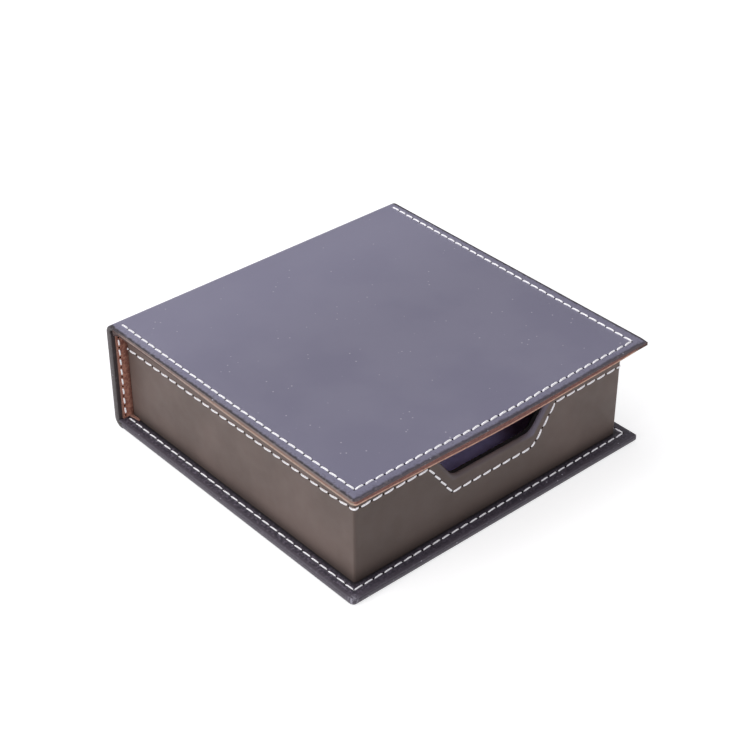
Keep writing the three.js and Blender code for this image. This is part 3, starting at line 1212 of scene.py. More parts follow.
@dataclass
class PanelSheet:
    """A sheet of leather on a flat panel, level on top, rounded over three free edges, square at the spine.

    A sheet with a lip is a pan: its edge comes down, and its inside lies one skin below the top. A pointed
    corner comes close to a square one.
    """

    half: float
    front: float
    rear: float
    top: float
    bottom: float
    shoulder: float
    heel: float
    corner: float
    relief: Optional[SewnRelief] = None
    pointed: Optional[Side] = None
    pointedness: float = 0.95
    skin: float = 0.0
    lip: float = 0.0
    step: float = 6.0
    round_steps: int = 5
    seam_lines: tuple[float, ...] = (-2.2, -1.3, -0.65, 0, 0.65, 1.3, 2.2)
    rear_lines: tuple[float, ...] = (0.9, 1.8, 2.6, 3.5)

    def profile(self) -> list[tuple[float, float, float]]:
        """The free edge from the side, one entry for each ring of the grid.

        Returns:
            Distance from the corner's middle, drop, and the share of the relief that the ring follows.
        """
        height = self.top - self.bottom
        flat = self.corner - self.shoulder
        rings = [(0.0, 0.0)]
        if flat > 0:
            rings += [(flat / 2, 0.0), (flat, 0.0)]
        rings += [(flat + out, down) for out, down in quarter(self.shoulder, self.round_steps)]
        for angle in right_angle(self.round_steps - 1):
            out, down = self.heel * math.cos(angle), self.heel * math.sin(angle)
            rings.append((self.corner - self.heel + out, height - self.heel + down))
        outer = [(out, drop, 1 - drop / height) for out, drop in rings]
        if not self.lip:
            return outer
        inner = self.corner - self.lip
        return outer + [(inner, height, 0.0), (inner, self.skin, 0.0)]

    def mesh(self) -> Mesh:
        """Drapes a grid over the panel and closes it.

        Returns:
            The closed mesh.
        """
        bm = bmesh.new()
        rings = self.profile()
        beyond = len(rings) - 1
        xs, ys = self._columns(), self._rows()
        columns, rows = len(xs) - 1 + 2 * beyond, len(ys) - 1 + beyond
        height = self.top - self.bottom
        rise = {}
        for (i, j), vert in grid_between(bm, columns, rows).items():
            past_left, past_right = max(0, beyond - i), max(0, i - beyond - len(xs) + 1)
            a, b = max(past_left, past_right), max(0, beyond - j)
            x = xs[min(max(i - beyond, 0), len(xs) - 1)]
            y = ys[min(max(j - beyond, 0), len(ys) - 1)]
            ring = max(a, b)
            out, drop, share = rings[ring]
            if ring:
                angle = math.pi / 4 * (b / a if a >= b else 2 - a / b)
                side = Side.LEFT if past_left else Side.RIGHT
                if side is self.pointed and a and b:
                    out *= 1 + self.pointedness * (1 / max(math.cos(angle), math.sin(angle)) - 1)
                x += side.value * out * math.cos(angle) * (1 if a else 0)
                y -= out * math.sin(angle) * (1 if b else 0)
            lift = self.relief.height(x, y) if self.relief else 0.0
            vert.co = (x, y, self.top - drop + lift * share)
            rise[vert] = drop * (1 + lift / height)
        self._close(bm)
        layer = bm.loops.layers.uv.new("rim")
        for loop in (loop for face in bm.faces for loop in face.loops):
            loop[layer].uv = (0.0, rise[loop.vert])
        return bm

    def _close(self, bm: Mesh) -> None:
        """Adds the inside or underside of the sheet, and its end at the spine.

        Args:
            bm: The open mesh.
        """
        chain = [e for e in bm.edges if e.is_boundary]
        rear = {e for e in chain if all(v.co.y > self.rear - 2 * WELD for v in e.verts)}
        under = [e for e in chain if e not in rear]
        ends = [v for v in {v for e in rear for v in e.verts} if len(rear.intersection(v.link_edges)) == 1]
        bridge = bmesh.ops.contextual_create(bm, geom=ends)["edges"]
        bmesh.ops.contextual_create(bm, geom=under + bridge)
        bmesh.ops.contextual_create(bm, geom=[*rear, *bridge])

    def _valley_lines(self, inset: float) -> list[float]:
        """Insets of the grid lines that a seam's valley needs, as far as they are clear of the rounding."""
        lines = [inset + self.relief.valley_width * share for share in self.seam_lines]
        return [each for each in lines if each > self.corner]

    def _columns(self) -> list[float]:
        """Finds the grid lines between the rounded sides, some of them along the side seams.

        Returns:
            Their x, rising.
        """
        seams = self._valley_lines(self.relief.side_seam) if self.relief else []
        places = [self.half - each for each in (self.corner, *seams)]
        return spread([side.value * place for place in places for side in Side], self.step)

    def _rows(self) -> list[float]:
        """Finds the grid lines behind the rounded front, some along the front seam and the fade at the spine.

        Returns:
            Their y, rising.
        """
        seams = self._valley_lines(self.relief.front_seam) if self.relief else []
        front = [self.front + each for each in (self.corner, *seams)]
        return spread(front + [self.rear - each for each in (0.0, *self.rear_lines)], self.step)


def mark_edges(bm: Mesh, sideways: float = 0.6) -> None:
    """Gives the faces of a flat sheet that look sideways its second material.

    Args:
        bm: The sheet.
        sideways: The steepness of a normal under which its face looks sideways.
    """
    bm.normal_update()
    for face in bm.faces:
        face.material_index = int(abs(face.normal.z) < sideways)


@dataclass
class Lid:
    """The lid panel: cover leather with its board, the lining under it, and the seam through both.

    Its free front edge hangs a little, most over the finger notch, where it is lifted by hand.
    """

    finishes: Finishes
    side_inset: float = 3.15
    front_inset: float = 2.85
    row: Row = (
        (-53.72, 52.75, 16), (-54.05, -1.7, 15), (-53.65, -52.8, 4), (-39.8, -53.2, 4), (-26.1, -53.45, 4),
        (-12.3, -53.8, 5), (4.9, -53.9, 3), (15.2, -53.65, 4), (29.0, -53.55, 7), (53.1, -53.6, 15),
        (53.7, -1.0, 16), (54.25, 52.75, 0),
    )
    hole_end: float = 52.0
    cover_edge: float = 36.3
    rim_gap: float = 0.05
    rim_width: float = 0.6
    hang: float = 0.62
    hang_middle: float = 2.0
    hang_width: float = 28.0
    hang_from: float = -51.2
    hang_reach: float = 5.3

    def build(self) -> None:
        """Builds and places the lid's pieces."""
        finishes, cover, lining = self.finishes, Box.of("lid_cover_leather"), Box.of("lid_lining")
        half, front, rear = cover.high.x, cover.low.y, cover.high.y
        insets = self.side_inset, self.front_inset
        upper = Seam.through(self.row, cover.high.z, UP)
        lower = Seam.through(self.row, lining.low.z, DOWN, Stitching(crest=0.25))

        relief = SewnRelief(
            half, front, rear, *insets, left=0.32, right=0.02, middle=0.04, ends=0.34, swell=0.03,
            row=self.row,
        )
        sheet = PanelSheet(
            half, front, rear, cover.high.z, self.cover_edge, shoulder=0.56, heel=0.1, corner=1.6,
            relief=relief, pointed=Side.RIGHT,
        )
        Piece(
            "lid_leather", Body.LID, Slot.COVER, [finishes.lid], ["lid_cover_leather"], pierced=finishes.hole
        ).place(self._hung(sheet.mesh()), self._hung(upper.punches(rear=self.hole_end)))

        half, front, edge = half - self.rim_gap, front + self.rim_gap, self.cover_edge - self.rim_gap
        relief = SewnRelief(
            half, front, rear, *insets, left=0.8, right=0.5, middle=0.02, ends=0.7, left_rear=0.33,
            right_end=0.45, valley=0.1, row=self.row,
        ).mirrored()
        sheet = PanelSheet(
            half, front, rear, edge, lining.low.z, shoulder=0.2, heel=0.08, corner=1.55, relief=relief,
            pointed=Side.LEFT, skin=lining.high.z - lining.low.z, lip=self.rim_width, round_steps=3,
        )
        mesh = turned_over(sheet.mesh(), (sheet.top + sheet.bottom) / 2)
        mark_edges(mesh)
        Piece(
            "lid_lining_leather", Body.LID, Slot.LINING, [finishes.lining, finishes.cut_edge], ["lid_lining"],
            pierced=finishes.hole,
        ).place(self._hung(mesh), self._hung(lower.punches(rear=self.hole_end)))

        for word, seam in (("top", upper), ("under", lower)):
            strands = self._hung(seam.stitches())
            sew(f"lid_stitches_{word}", f"lid_thread_{word}", strands, finishes.thread, Body.LID)

    def _hung(self, bm: Mesh) -> Mesh:
        """Lets a mesh of the lid hang at its front.

        Args:
            bm: The mesh.

        Returns:
            The same mesh.
        """
        for vert in bm.verts:
            along = math.exp(-(((vert.co.x - self.hang_middle) / self.hang_width) ** 2))
            vert.co.z -= self.hang * along * smoothstep((self.hang_from - vert.co.y) / self.hang_reach)
        return bm


@dataclass
class Base:
    """The base panel: cover leather below, its board, the top leather, and the seam through all."""

    finishes: Finishes
    inset: float = 2.9
    row: Row = ((-54.0, 53.1, 29), (-54.18, -52.87, 30), (54.2, -52.82, 29), (54.2, 53.1, 0))
    under_row: Row = ((-54.1, 51.7, 29), (-54.1, -52.9, 30), (54.1, -52.9, 29), (54.1, 51.7, 0))

    def build(self) -> None:
        """Builds and places the base's pieces."""
        finishes, cover, top = self.finishes, Box.of("base_cover_leather"), Box.of("base_top_leather")
        half, front, rear = cover.high.x, cover.low.y, cover.high.y
        upper = Seam.through(
            self.row, top.high.z, UP, Stitching(width=0.45, crest=0.27, gap=0.34, lean_degrees=3.5)
        )
        lower = Seam.through(self.under_row, cover.low.z, DOWN, FLUSH)

        sheet = PanelSheet(
            half, front, rear, cover.high.z, cover.low.z, shoulder=0.95, heel=0.35, corner=1.6,
            pointed=Side.LEFT, skin=0.7, lip=0.7, step=12,
        )
        mesh = turned_over(sheet.mesh(), (cover.high.z + cover.low.z) / 2)
        Piece(
            "base_leather", Body.CASE, Slot.COVER, [finishes.base], ["base_cover_leather"],
            pierced=finishes.hole,
        ).place(mesh, lower.punches(channel=CHANNEL))

        half, front, rear = top.high.x, top.low.y, top.high.y
        relief = SewnRelief(
            half, front, rear, self.inset, self.inset, left=0.18, right=0.18, middle=0.18, ends=0.2,
            valley=0.1,
        )
        sheet = PanelSheet(
            half, front, rear, top.high.z, top.low.z, shoulder=0.4, heel=0.2, corner=1.6, relief=relief,
            pointed=Side.RIGHT, step=12, round_steps=4,
        )
        Piece(
            "base_top_sheet", Body.CASE, Slot.COVER, [finishes.base], ["base_top_leather"],
            pierced=finishes.hole,
        ).place(sheet.mesh(), upper.punches())

        for word, seam in (("top", upper), ("under", lower)):
            sew(f"base_stitches_{word}", f"base_thread_{word}", seam.stitches(), finishes.thread)


# ---------------------------------------------------------------------------------------------
# Spine and folds
# ---------------------------------------------------------------------------------------------
@dataclass(frozen=True)
class CoverPath:
    """The line that the cover's outer face follows, seen from the side, from base to lid."""

    rear: float = 56.5
    height: float = 37.0
    radius: float = 3.0
    tail: float = 0.6

    @property
    def reach(self) -> float:
        """How far a fold reaches from the corner of the case."""
        return self.radius + self.tail

    @property
    def arc(self) -> float:
        """The length of a fold's round part along its outer face."""
        return self.radius * math.pi / 2

    @property
    def fold_length(self) -> float:
        """The length of a fold along its outer face, tails included."""
        return 2 * self.tail + self.arc

    def upper_fold(self, s: float, depth: float) -> tuple[float, float]:
        """A point of the fold between spine and lid.

        Args:
            s: Distance along the outer face from the spine's top.
            depth: Distance below the outer face.

        Returns:
            Its y and z.
        """
        centre_y, centre_z = self.rear - self.radius, self.height - self.radius
        if s <= self.tail:
            return self.rear - depth, centre_z - self.tail + s
        if s >= self.tail + self.arc:
            return centre_y - (s - self.tail - self.arc), self.height - depth
        angle = (s - self.tail) / self.radius
        reach = self.radius - depth
        return centre_y + reach * math.cos(angle), centre_z + reach * math.sin(angle)

    def lower_fold(self, s: float, depth: float) -> tuple[float, float]:
        """A point of the fold between base and spine, from the spine's foot down and round to the base."""
        y, z = self.upper_fold(s, depth)
        return y, self.height - z

    def spine(self, s: float, depth: float) -> tuple[float, float]:
        """A point of the spine, from its foot up."""
        return self.rear - depth, self.reach + s


@dataclass(frozen=True)
class OutlinePoint:
    """A point of a strip's cross-section. Its depth counts from the outer face, or else back from its lip."""

    x: float
    depth: float
    on_lip: bool = False


@dataclass
class CoverStrip:
    """A width of cover leather between its two turned-in ends, swept along part of the case's outer line."""

    half: float
    length: float
    line: Callable[[float, float], tuple[float, float]]
    lip: Callable[[float], float]
    steps: int
    skin: float = 0.7
    turn_in: float = 1.3
    nose: float = 0.55
    nose_steps: int = 5
    heel: float = 0.1
    heel_share: float = 0.3
    flat: float = 6.0

    def outline(self) -> list[OutlinePoint]:
        """Draws the cross-section.

        Returns:
            Its points, over the outer face from left to right, and back along the lips and the inner face.
        """
        half, heel, inner = self.half, self.heel, self.half - self.turn_in
        near, point = heel * self.heel_share, OutlinePoint
        face = [point(inner - self.flat, 0.0), point(inner, 0.0)]
        face += [point(half - self.nose + out, down) for out, down in quarter(self.nose, self.nose_steps)]
        lip = [
            point(half, heel, True), point(half - near, near, True), point(half - heel, 0.0, True),
            point(inner, 0.0, True), point(inner, self.skin),
        ]

        def mirrored(points: list[OutlinePoint]) -> list[OutlinePoint]:
            """The same points on the left."""
            return [replace(each, x=-each.x) for each in reversed(points)]

        return mirrored(face) + face + lip + mirrored(lip)

    def mesh(self) -> Mesh:
        """Sweeps the outline along the line and closes both ends.

        Returns:
            The closed mesh.
        """
        bm = bmesh.new()
        outline = self.outline()
        verts = [bmesh.ops.create_vert(bm, co=(p.x, p.depth, 0))["vert"][0] for p in outline]
        edges = []
        for first, second in zip(verts, verts[1:] + verts[:1]):
            edges += bmesh.ops.contextual_create(bm, geom=[first, second])["edges"]
        self._bend(verts, outline, 0.0)
        start = list(edges)
        for i in range(self.steps):
            grown = bmesh.ops.extrude_edge_only(bm, edges=edges)["geom"]
            edges = [g for g in grown if isinstance(g, bmesh.types.BMEdge)]
            fresh = {g for g in grown if isinstance(g, bmesh.types.BMVert)}
            before = verts
            verts = [next(e.other_vert(v) for e in v.link_edges if e.other_vert(v) in fresh) for v in before]
            self._dress(before, verts, outline)
            self._bend(verts, outline, self.length * (i + 1) / self.steps)
        bmesh.ops.contextual_create(bm, geom=start)
        bmesh.ops.contextual_create(bm, geom=edges)
        return bm

    def _dress(self, before: list, after: list, outline: list[OutlinePoint]) -> None:
        """Gives the new faces of the lips and the inner side the second material.

        Args:
            before: The corners of the last cross-section.
            after: The corners of the new one.
            outline: The point that each of them stands for.
        """
        for i, first in enumerate(outline):
            j = (i + 1) % len(outline)
            second = outline[j]
            inside = first.depth >= self.skin and second.depth >= self.skin
            if first.on_lip or second.on_lip or inside:
                for face in set(before[i].link_faces) & set(after[j].link_faces):
                    face.material_index = 1

    def _bend(self, verts: list, outline: list[OutlinePoint], s: float) -> None:
        """Moves one cross-section to its place on the line.

        Args:
            verts: Its corners.
            outline: The point that each of them stands for.
            s: The place, as a distance along the line.
        """
        lip = self.lip(s)
        for vert, point in zip(verts, outline):
            y, z = self.line(s, lip - point.depth if point.on_lip else point.depth)
            vert.co = (point.x, y, z)


class Hinge:
    """The leather hinge between spine and lid: its pieces keep their closed shape and ride on neither body.
    """

    path = CoverPath()
    held = 0.19  # the share of the fold that moves with one body alone, at each end

    @classmethod
    def bend(cls, piece: bpy.types.Object) -> None:
        """Bakes a piece's placement into its mesh; the piece rides on neither body.

        Args:
            piece: A piece of the hinge.
        """
        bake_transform(piece)


@dataclass
class Spine:
    """The spine: cover leather, board and lining, the folds above and below it, and the seams at its ends."""

    finishes: Finishes
    path: CoverPath = field(default_factory=CoverPath)
    half: float = 57.0
    lid_lip: float = 1.15
    spine_lip: float = 2.5
    base_lip: float = 1.7
    spine_steps: int = 6
    fold_steps: int = 20
    seam_inset: float = 2.2
    stitches: int = 8
    seam_top: float = 1.1
    seam_foot: float = 0.3
    hinge_depth: float = 0.76
    hinge_skin: float = 0.6
    lining_skin: float = 1.0
    lining_round: float = 0.12
    tongue_wall: float = 52.25
    tongue_width: float = 1.2
    tongue_skin: float = 0.5
    tongue_overlap: float = 0.3

    def build(self) -> None:
        """Builds and places the spine's pieces."""
        self._covers()
        self._hinge_lining()
        self._spine_lining()
        self._seams()

    def _covers(self) -> None:
        """Places the cover leather of the hinge, the lower fold and the spine."""
        path, fold = self.path, self.path.fold_length
        cover = [self.finishes.lid, self.finishes.folded]

        def lip_to(end: float) -> Callable[[float], float]:
            """The turned-in end's depth, from the spine's to that of the panel beyond the fold."""
            return lambda s: self.spine_lip + (end - self.spine_lip) * smoothstep(s / fold)

        for name, body, node, line, end in (
            ("hinge_strip", Body.HINGE, "hinge_leather", path.upper_fold, self.lid_lip),
            ("base_fold", Body.CASE, "base_fold_leather", path.lower_fold, self.base_lip),
        ):
            strip = CoverStrip(self.half, fold, line, lip_to(end), self.fold_steps)
            Piece(name, body, Slot.COVER, cover, [node]).place(strip.mesh())
        height = path.height - 2 * path.reach
        spine = CoverStrip(self.half, height, path.spine, lambda s: self.spine_lip, self.spine_steps)
        rows = Seam([self._run(side, path.rear, BACKWARD) for side in Side], Stitching(hole_depth=0.5))
        Piece(
            "spine_leather", Body.CASE, Slot.COVER, cover, ["spine_cover_leather"], pierced=self.finishes.hole
        ).place(spine.mesh(), rows.punches(channel=CHANNEL))

    def _run(self, side: Side, y: float, outward: Vector) -> SeamRun:
        """The seam at one end of the spine, on its inner or outer face.

        Args:
            side: The end.
            y: Where the face lies.
            outward: Where it points.

        Returns:
            The run.
        """
        x = side.value * (self.half - self.seam_inset)
        low = self.path.reach + self.seam_foot
        high = self.path.height - self.path.reach - self.seam_top
        return SeamRun(Vector((x, y, low)), Vector((x, y, high)), outward, self.stitches)

    def _hinge_lining(self) -> None:
        """Places the strip of lining along the hinge's fold."""
        path, half = self.path, Box.of("hinge_lining").high.x
        bm = bmesh.new()
        for (i, j), vert in grid_between(bm, 1, self.fold_steps).items():
            y, z = path.upper_fold(path.fold_length * j / self.fold_steps, self.hinge_depth)
            vert.co = ((2 * i - 1) * half, y, z)
        bmesh.ops.recalc_face_normals(bm, faces=bm.faces[:])
        bm.normal_update()
        outward = sum((f.normal for f in bm.faces), Vector()).normalized()
        if outward.dot(UP + BACKWARD) < 0:
            bmesh.ops.reverse_faces(bm, faces=bm.faces[:])
        bmesh.ops.solidify(bm, geom=bm.faces[:], thickness=self.hinge_skin)
        lining = [self.finishes.lining]
        Piece("hinge_lining_leather", Body.HINGE, Slot.LINING, lining, ["hinge_lining"]).place(bm)

    def _spine_lining(self) -> None:
        """Places the spine's lining with its tongues, its ends and tongues dressed as cut edges."""
        finishes, sheet = self.finishes, Box.of("spine_lining")
        face = sheet.high.y - self.lining_skin
        bm = bmesh.new()
        add_block(bm, (-sheet.high.x, face, sheet.low.z), sheet.high)
        for side in Side:
            self._tongue(bm, side, sheet, face)
        round_off(bm, bm.edges[:], self.lining_round, 2)
        slack, before = 0.01, 0.2
        for each in bm.faces:
            middle = each.calc_center_median()
            end = abs(middle.x) > sheet.high.x - self.lining_round - slack
            each.material_index = int(end or middle.y < face - before)
        seam = Seam([self._run(side, face, FORWARD) for side in Side], SHORT)
        Piece(
            "spine_lining_leather", Body.CASE, Slot.LINING, [finishes.spine_lining, finishes.spine_edge],
            ["spine_lining"], pierced=finishes.hole,
        ).place(bm, seam.punches())

    def _tongue(self, bm: Mesh, side: Side, sheet: Box, face: float) -> None:
        """Adds the lining's end that lies on the base beside the tray, narrower towards the front.

        Args:
            bm: The mesh that gets it.
            side: The end of the spine.
            sheet: The lining's box, tongues included.
            face: Where the lining's inner face lies.
        """
        sign, wall, width = side.value, self.tongue_wall, self.tongue_width
        near, far = sorted((sign * wall, sign * (wall + width)))
        high = (far, face + self.tongue_overlap, sheet.low.z + self.tongue_skin)
        add_block(bm, (near, sheet.low.y, sheet.low.z), high)
        clear = 1.0
        for vert in bm.verts:
            outer = abs(vert.co.x) > wall + width / 2 and vert.co.z < sheet.low.z + clear
            if outer and vert.co.y < face - clear and vert.co.x * sign > 0:
                vert.co.x -= sign * width / 2

    def _seams(self) -> None:
        """Places the stitches at both ends of the spine, inside and outside."""
        inner_face = Box.of("spine_lining").high.y - self.lining_skin
        rows = (("inner", inner_face, FORWARD, SHORT), ("outer", self.path.rear, BACKWARD, FLUSH))
        for side in Side:
            for word, y, outward, style in rows:
                place = f"{word}_{side.name.lower()}"
                seam = Seam([self._run(side, y, outward)], style)
                sew(f"spine_stitches_{place}", f"spine_thread_{place}", seam.stitches(), self.finishes.thread)


# ---------------------------------------------------------------------------------------------
# Tray
# ---------------------------------------------------------------------------------------------
@dataclass(frozen=True)
class Notch:
    """The finger notch in the front wall."""

    top_half: float = 25.1
    bottom_half: float = 15.4
    depth: float = 13.4
    corner: float = 5.0
    top_radius: float = 1.6
    corner_steps: int = 10
    top_steps: int = 6
    seam_margin: float = 3.5

    @property
    def lean(self) -> float:
        """How far a slope moves out for each millimetre up."""
        return (self.top_half - self.bottom_half) / self.depth

    @property
    def slope(self) -> float:
        """The slopes' angle over the horizontal, in radians."""
        return math.atan2(self.depth, self.top_half - self.bottom_half)

    def seam_half(self, above_bottom: float) -> float:
        """Half the distance between the seam's two slopes at a height over the notch's bottom."""
        sideways = self.seam_margin / math.sin(self.slope)
        return self.bottom_half + sideways + above_bottom * self.lean

    def rim_line(self, rim: float) -> list[tuple[float, float, float]]:
        """The right half of the notch's edge, from the middle of its bottom up to the wall's level rim.

        Args:
            rim: The height of the level rim.

        Returns:
            The x and z of each point, and the angle that the edge is turned by there.
        """
        angle, bottom = self.slope, rim - self.depth
        tangent = math.tan(angle / 2)
        foot = self.bottom_half - self.corner * tangent
        head = self.top_half + self.top_radius * tangent
        line = [(0.0, bottom, 0.0), (foot * 0.5, bottom, 0.0)]
        for i in range(self.corner_steps + 1):
            turn = angle * i / self.corner_steps
            x = foot + self.corner * math.sin(turn)
            line.append((x, bottom + self.corner * (1 - math.cos(turn)), turn))
        for i in range(self.top_steps + 1):
            turn = angle * (1 - i / self.top_steps)
            x = head - self.top_radius * math.sin(turn)
            line.append((x, rim - self.top_radius * (1 - math.cos(turn)), turn))
        return line


@dataclass(frozen=True)
class RimStation:
    """One place along a wall's rim, and the directions that the wall's section is drawn in there."""

    place: Vector
    inward: Vector
    beyond: Vector
    into: Vector

    def point(self, across: float, depth: float, corner: float) -> Vector:
        """A point of the section.

        Args:
            across: Distance in from the outer face.
            depth: Distance below the rim.
            corner: The radius up to which the section fans out at an upright edge.

        Returns:
            The point.
        """
        near = min(across, corner)
        return self.place + self.inward * near + self.beyond * (across - near) + self.into * depth


@dataclass
class WallRing:
    """A sheet swept round the tray's four walls, with its upper edge following the finger notch."""

    low: Vector
    high: Vector
    corner: float
    notch: Notch
    corner_steps: int = 6

    def stations(self) -> list[RimStation]:
        """Finds the places that the section is swept through.

        Returns:
            The stations, once round the tray.
        """
        (x0, y0, _), (x1, y1, rim) = self.low, self.high
        r = self.corner
        found = []
        half_line = self.notch.rim_line(rim)
        half_line.append(((half_line[-1][0] + x1 - r) / 2, rim, 0.0))
        for side, line in ((-1, reversed(half_line[1:])), (1, half_line)):
            for x, z, turn in line:
                into = Vector((side * math.sin(turn), 0, -math.cos(turn)))
                found.append(RimStation(Vector((side * x, y0, z)), BACKWARD, BACKWARD, into))
        corners = ((x1 - r, y0 + r, -90), (x1 - r, y1 - r, 0), (x0 + r, y1 - r, 90), (x0 + r, y0 + r, 180))
        for x, y, start in corners:
            beyond = Vector((-math.copysign(1, x), -math.copysign(1, y), 0))
            for i in range(self.corner_steps + 1):
                turn = math.radians(start + 90 * i / self.corner_steps)
                out = Vector((math.cos(turn), math.sin(turn), 0))
                place = Vector((x + r * out.x, y + r * out.y, rim))
                found.append(RimStation(place, -out, beyond, DOWN))
        return found

    def mesh(self, section: Sequence[tuple[float, float]], thickness: float, outer: bool) -> Mesh:
        """Sweeps a section round the walls and thickens it into them.

        Args:
            section: Points as (across, depth), from the wall's face to the sheet's end on the rim.
            thickness: The sheet's thickness.
            outer: Whether the sheet covers the walls' outer faces, or else their inner ones.

        Returns:
            The closed mesh.
        """
        bm = bmesh.new()
        stops = self.stations()
        for (i, j), vert in grid_between(bm, len(stops), len(section)).items():
            across, depth = section[max(0, j - 1)]
            vert.co = stops[i % len(stops)].point(across, depth, self.corner)
            if j == 0:
                vert.co.z = self.low.z
        bmesh.ops.remove_doubles(bm, verts=bm.verts[:], dist=WELD)
        bmesh.ops.dissolve_degenerate(bm, edges=bm.edges[:], dist=WELD)
        bmesh.ops.recalc_face_normals(bm, faces=bm.faces[:])
        upright = max(bm.faces, key=lambda f: f.calc_center_median().x - f.calc_center_median().z)
        if (upright.normal.x > 0) != outer:
            bmesh.ops.reverse_faces(bm, faces=bm.faces[:])
        bmesh.ops.solidify(bm, geom=bm.faces[:], thickness=thickness)
        return bm


@dataclass
class Tray:
    """The tray: leather over four walls, their lining, the floor lining, and the seam round the walls.

    The seam lies a little lower on the right than on the left, and dips round the notch.
    """

    finishes: Finishes
    notch: Notch = field(default_factory=Notch)
    skin: float = 0.7
    rim_round: float = 1.15
    rim_inner: float = 0.6
    leather_reach: float = 1.35
    upright: float = 0.8
    floor_corner: float = 1.0
    pitch: float = 4.04
    turn: float = 2.4
    settle: float = 10.5
    seam_left: float = 28.25
    seam_right: float = 27.45
    seam_low: float = 15.6
    seam_rear: float = 27.5
    seam_end: float = 1.05
    seam_tight: float = 0.3
    wall_gap: float = 0.12
    hole_end: float = 52.8
    seam_zone: float = 1.2

    def build(self) -> None:
        """Builds and places the tray's pieces."""
        finishes, wrap = self.finishes, Box.of("tray_leather_wrap")
        seam = self._seam(wrap)
        ring = WallRing(wrap.low, wrap.high, self.upright, self.notch)
        Piece(
            "tray_leather_cover", Body.CASE, Slot.TRAY, [finishes.tray], ["tray_leather_wrap"],
            pierced=finishes.hole,
        ).place(
            ring.mesh(self._rim_section(), self.skin, outer=True),
            self._round_corners(seam.punches(rear=self.hole_end), wrap),
        )
        sew("tray_stitches", "tray_thread", self._round_corners(seam.stitches(), wrap), finishes.thread)
        self._wall_lining(wrap)
        self._floor_lining()

    def _rim_section(self) -> list[tuple[float, float]]:
        """The leather's section over the rim: its outer rounding and half its top, its edge pressed down.

        Returns:
            Points as (across, depth).
        """
        big, reach = self.rim_round, self.leather_reach
        below, edge, dip, drop = 0.25, 0.15, 0.02, 0.14
        points = [(0.0, big + below)]
        points += [(big * (1 - math.cos(a)), big * (1 - math.sin(a))) for a in right_angle(6)]
        return points + [(reach - edge, dip), (reach, drop)]

    def _lining_section(self, inner: float) -> list[tuple[float, float]]:
        """The lining's section: up the inner face, round the inner edge and over half the rim to the leather.

        Args:
            inner: Distance from the outer face to the lining's face.

        Returns:
            Points as (across, depth).
        """
        small, reach = self.rim_inner, self.leather_reach
        below, edge, gap, sunk, drop = 0.3, 0.15, 0.02, 0.05, 0.16
        points = [(inner, small + below)]
        for a in right_angle(4):
            points.append((inner - small * (1 - math.cos(a)), small * (1 - math.sin(a)) + sunk))
        return points + [(reach + edge, sunk), (reach + gap, drop)]

    def _seam(self, wrap: Box) -> Seam:
        """The seam below the rim. Its front is drawn flat, with its ends past the corners.

        Args:
            wrap: The box of the walls' leather.

        Returns:
            The seam.
        """
        notch, left, right, low = self.notch, self.seam_left, self.seam_right, self.seam_low
        bottom = wrap.high.z - notch.depth
        front, side = wrap.low.y, wrap.high.x
        wide_left = notch.seam_half(left - bottom)
        wide_right = notch.seam_half(right - bottom) - self.seam_tight
        narrow = notch.seam_half(low - bottom)
        cut_in, cut_out, cut_up, settle_rise = 1.2, 0.9, 1.5, 0.15
        beyond = side - self.upright + (self.turn - self.upright) + math.pi / 2 * self.upright
        places = (
            (-beyond, left), (-wide_left, left), (-narrow, low), (narrow - cut_in, low),
            (narrow + cut_out, low + cut_up), (wide_right, right), (beyond, right),
        )
        points = [Vector((x, front, z)) for x, z in places]
        runs = [self._run(p, q, FORWARD) for p, q in zip(points, points[1:])]
        for sign, height in ((-1, left), (1, right)):
            places = (
                (front + self.turn, height), (front + self.settle, self.seam_rear + settle_rise),
                (wrap.high.y - self.seam_end, self.seam_rear), (wrap.high.y - self.wall_gap, self.seam_rear),
            )
            points = [Vector((sign * side, y, z)) for y, z in places]
            runs += [self._run(p, q, Vector((sign, 0, 0))) for p, q in zip(points, points[1:])]
        return Seam(runs, Stitching(width=0.64, gap=0.46))

    def _run(self, start: Vector, end: Vector, outward: Vector) -> SeamRun:
        """A run with as many stitches as its length takes."""
        return SeamRun(start, end, outward, max(1, round((end - start).length / self.pitch)))

    def _round_corners(self, bm: Mesh, wrap: Box) -> Mesh:
        """Bends what the front's seam draws past the front corners round them, onto the side walls.

        Args:
            bm: A mesh of the seam, with the front drawn as one flat face.
            wrap: The box of the walls' leather.

        Returns:
            The same mesh.
        """
        r, side, front = self.upright, wrap.high.x, wrap.low.y
        for vert in bm.verts:
            past = abs(vert.co.x) - (side - r)
            depth = vert.co.y - front
            if past <= 0 or depth > self.seam_zone:
                continue
            angle = min(past / r, math.pi / 2)
            beyond = max(0.0, past - r * math.pi / 2)
            sign = math.copysign(1, vert.co.x)
            vert.co.x = sign * (side - r + (r - depth) * math.sin(angle))
            vert.co.y = front + r - (r - depth) * math.cos(angle) + beyond
        return bm

    def _wall_lining(self, wrap: Box) -> None:
        """Places the lining of all four walls as one sheet.

        Args:
            wrap: The box of the walls' leather.
        """
        names = [f"tray_lining_{word}" for word in ("left", "right", "rear", "front")]
        right = Box.of("tray_lining_right")
        low = Vector((wrap.low.x, wrap.low.y, right.low.z))
        ring = WallRing(low, wrap.high, self.upright, self.notch)
        section = self._lining_section(wrap.high.x - right.low.x)
        Piece("tray_wall_lining", Body.CASE, Slot.WALL, [self.finishes.walls], names).place(
            ring.mesh(section, right.high.x - right.low.x, outer=False)
        )

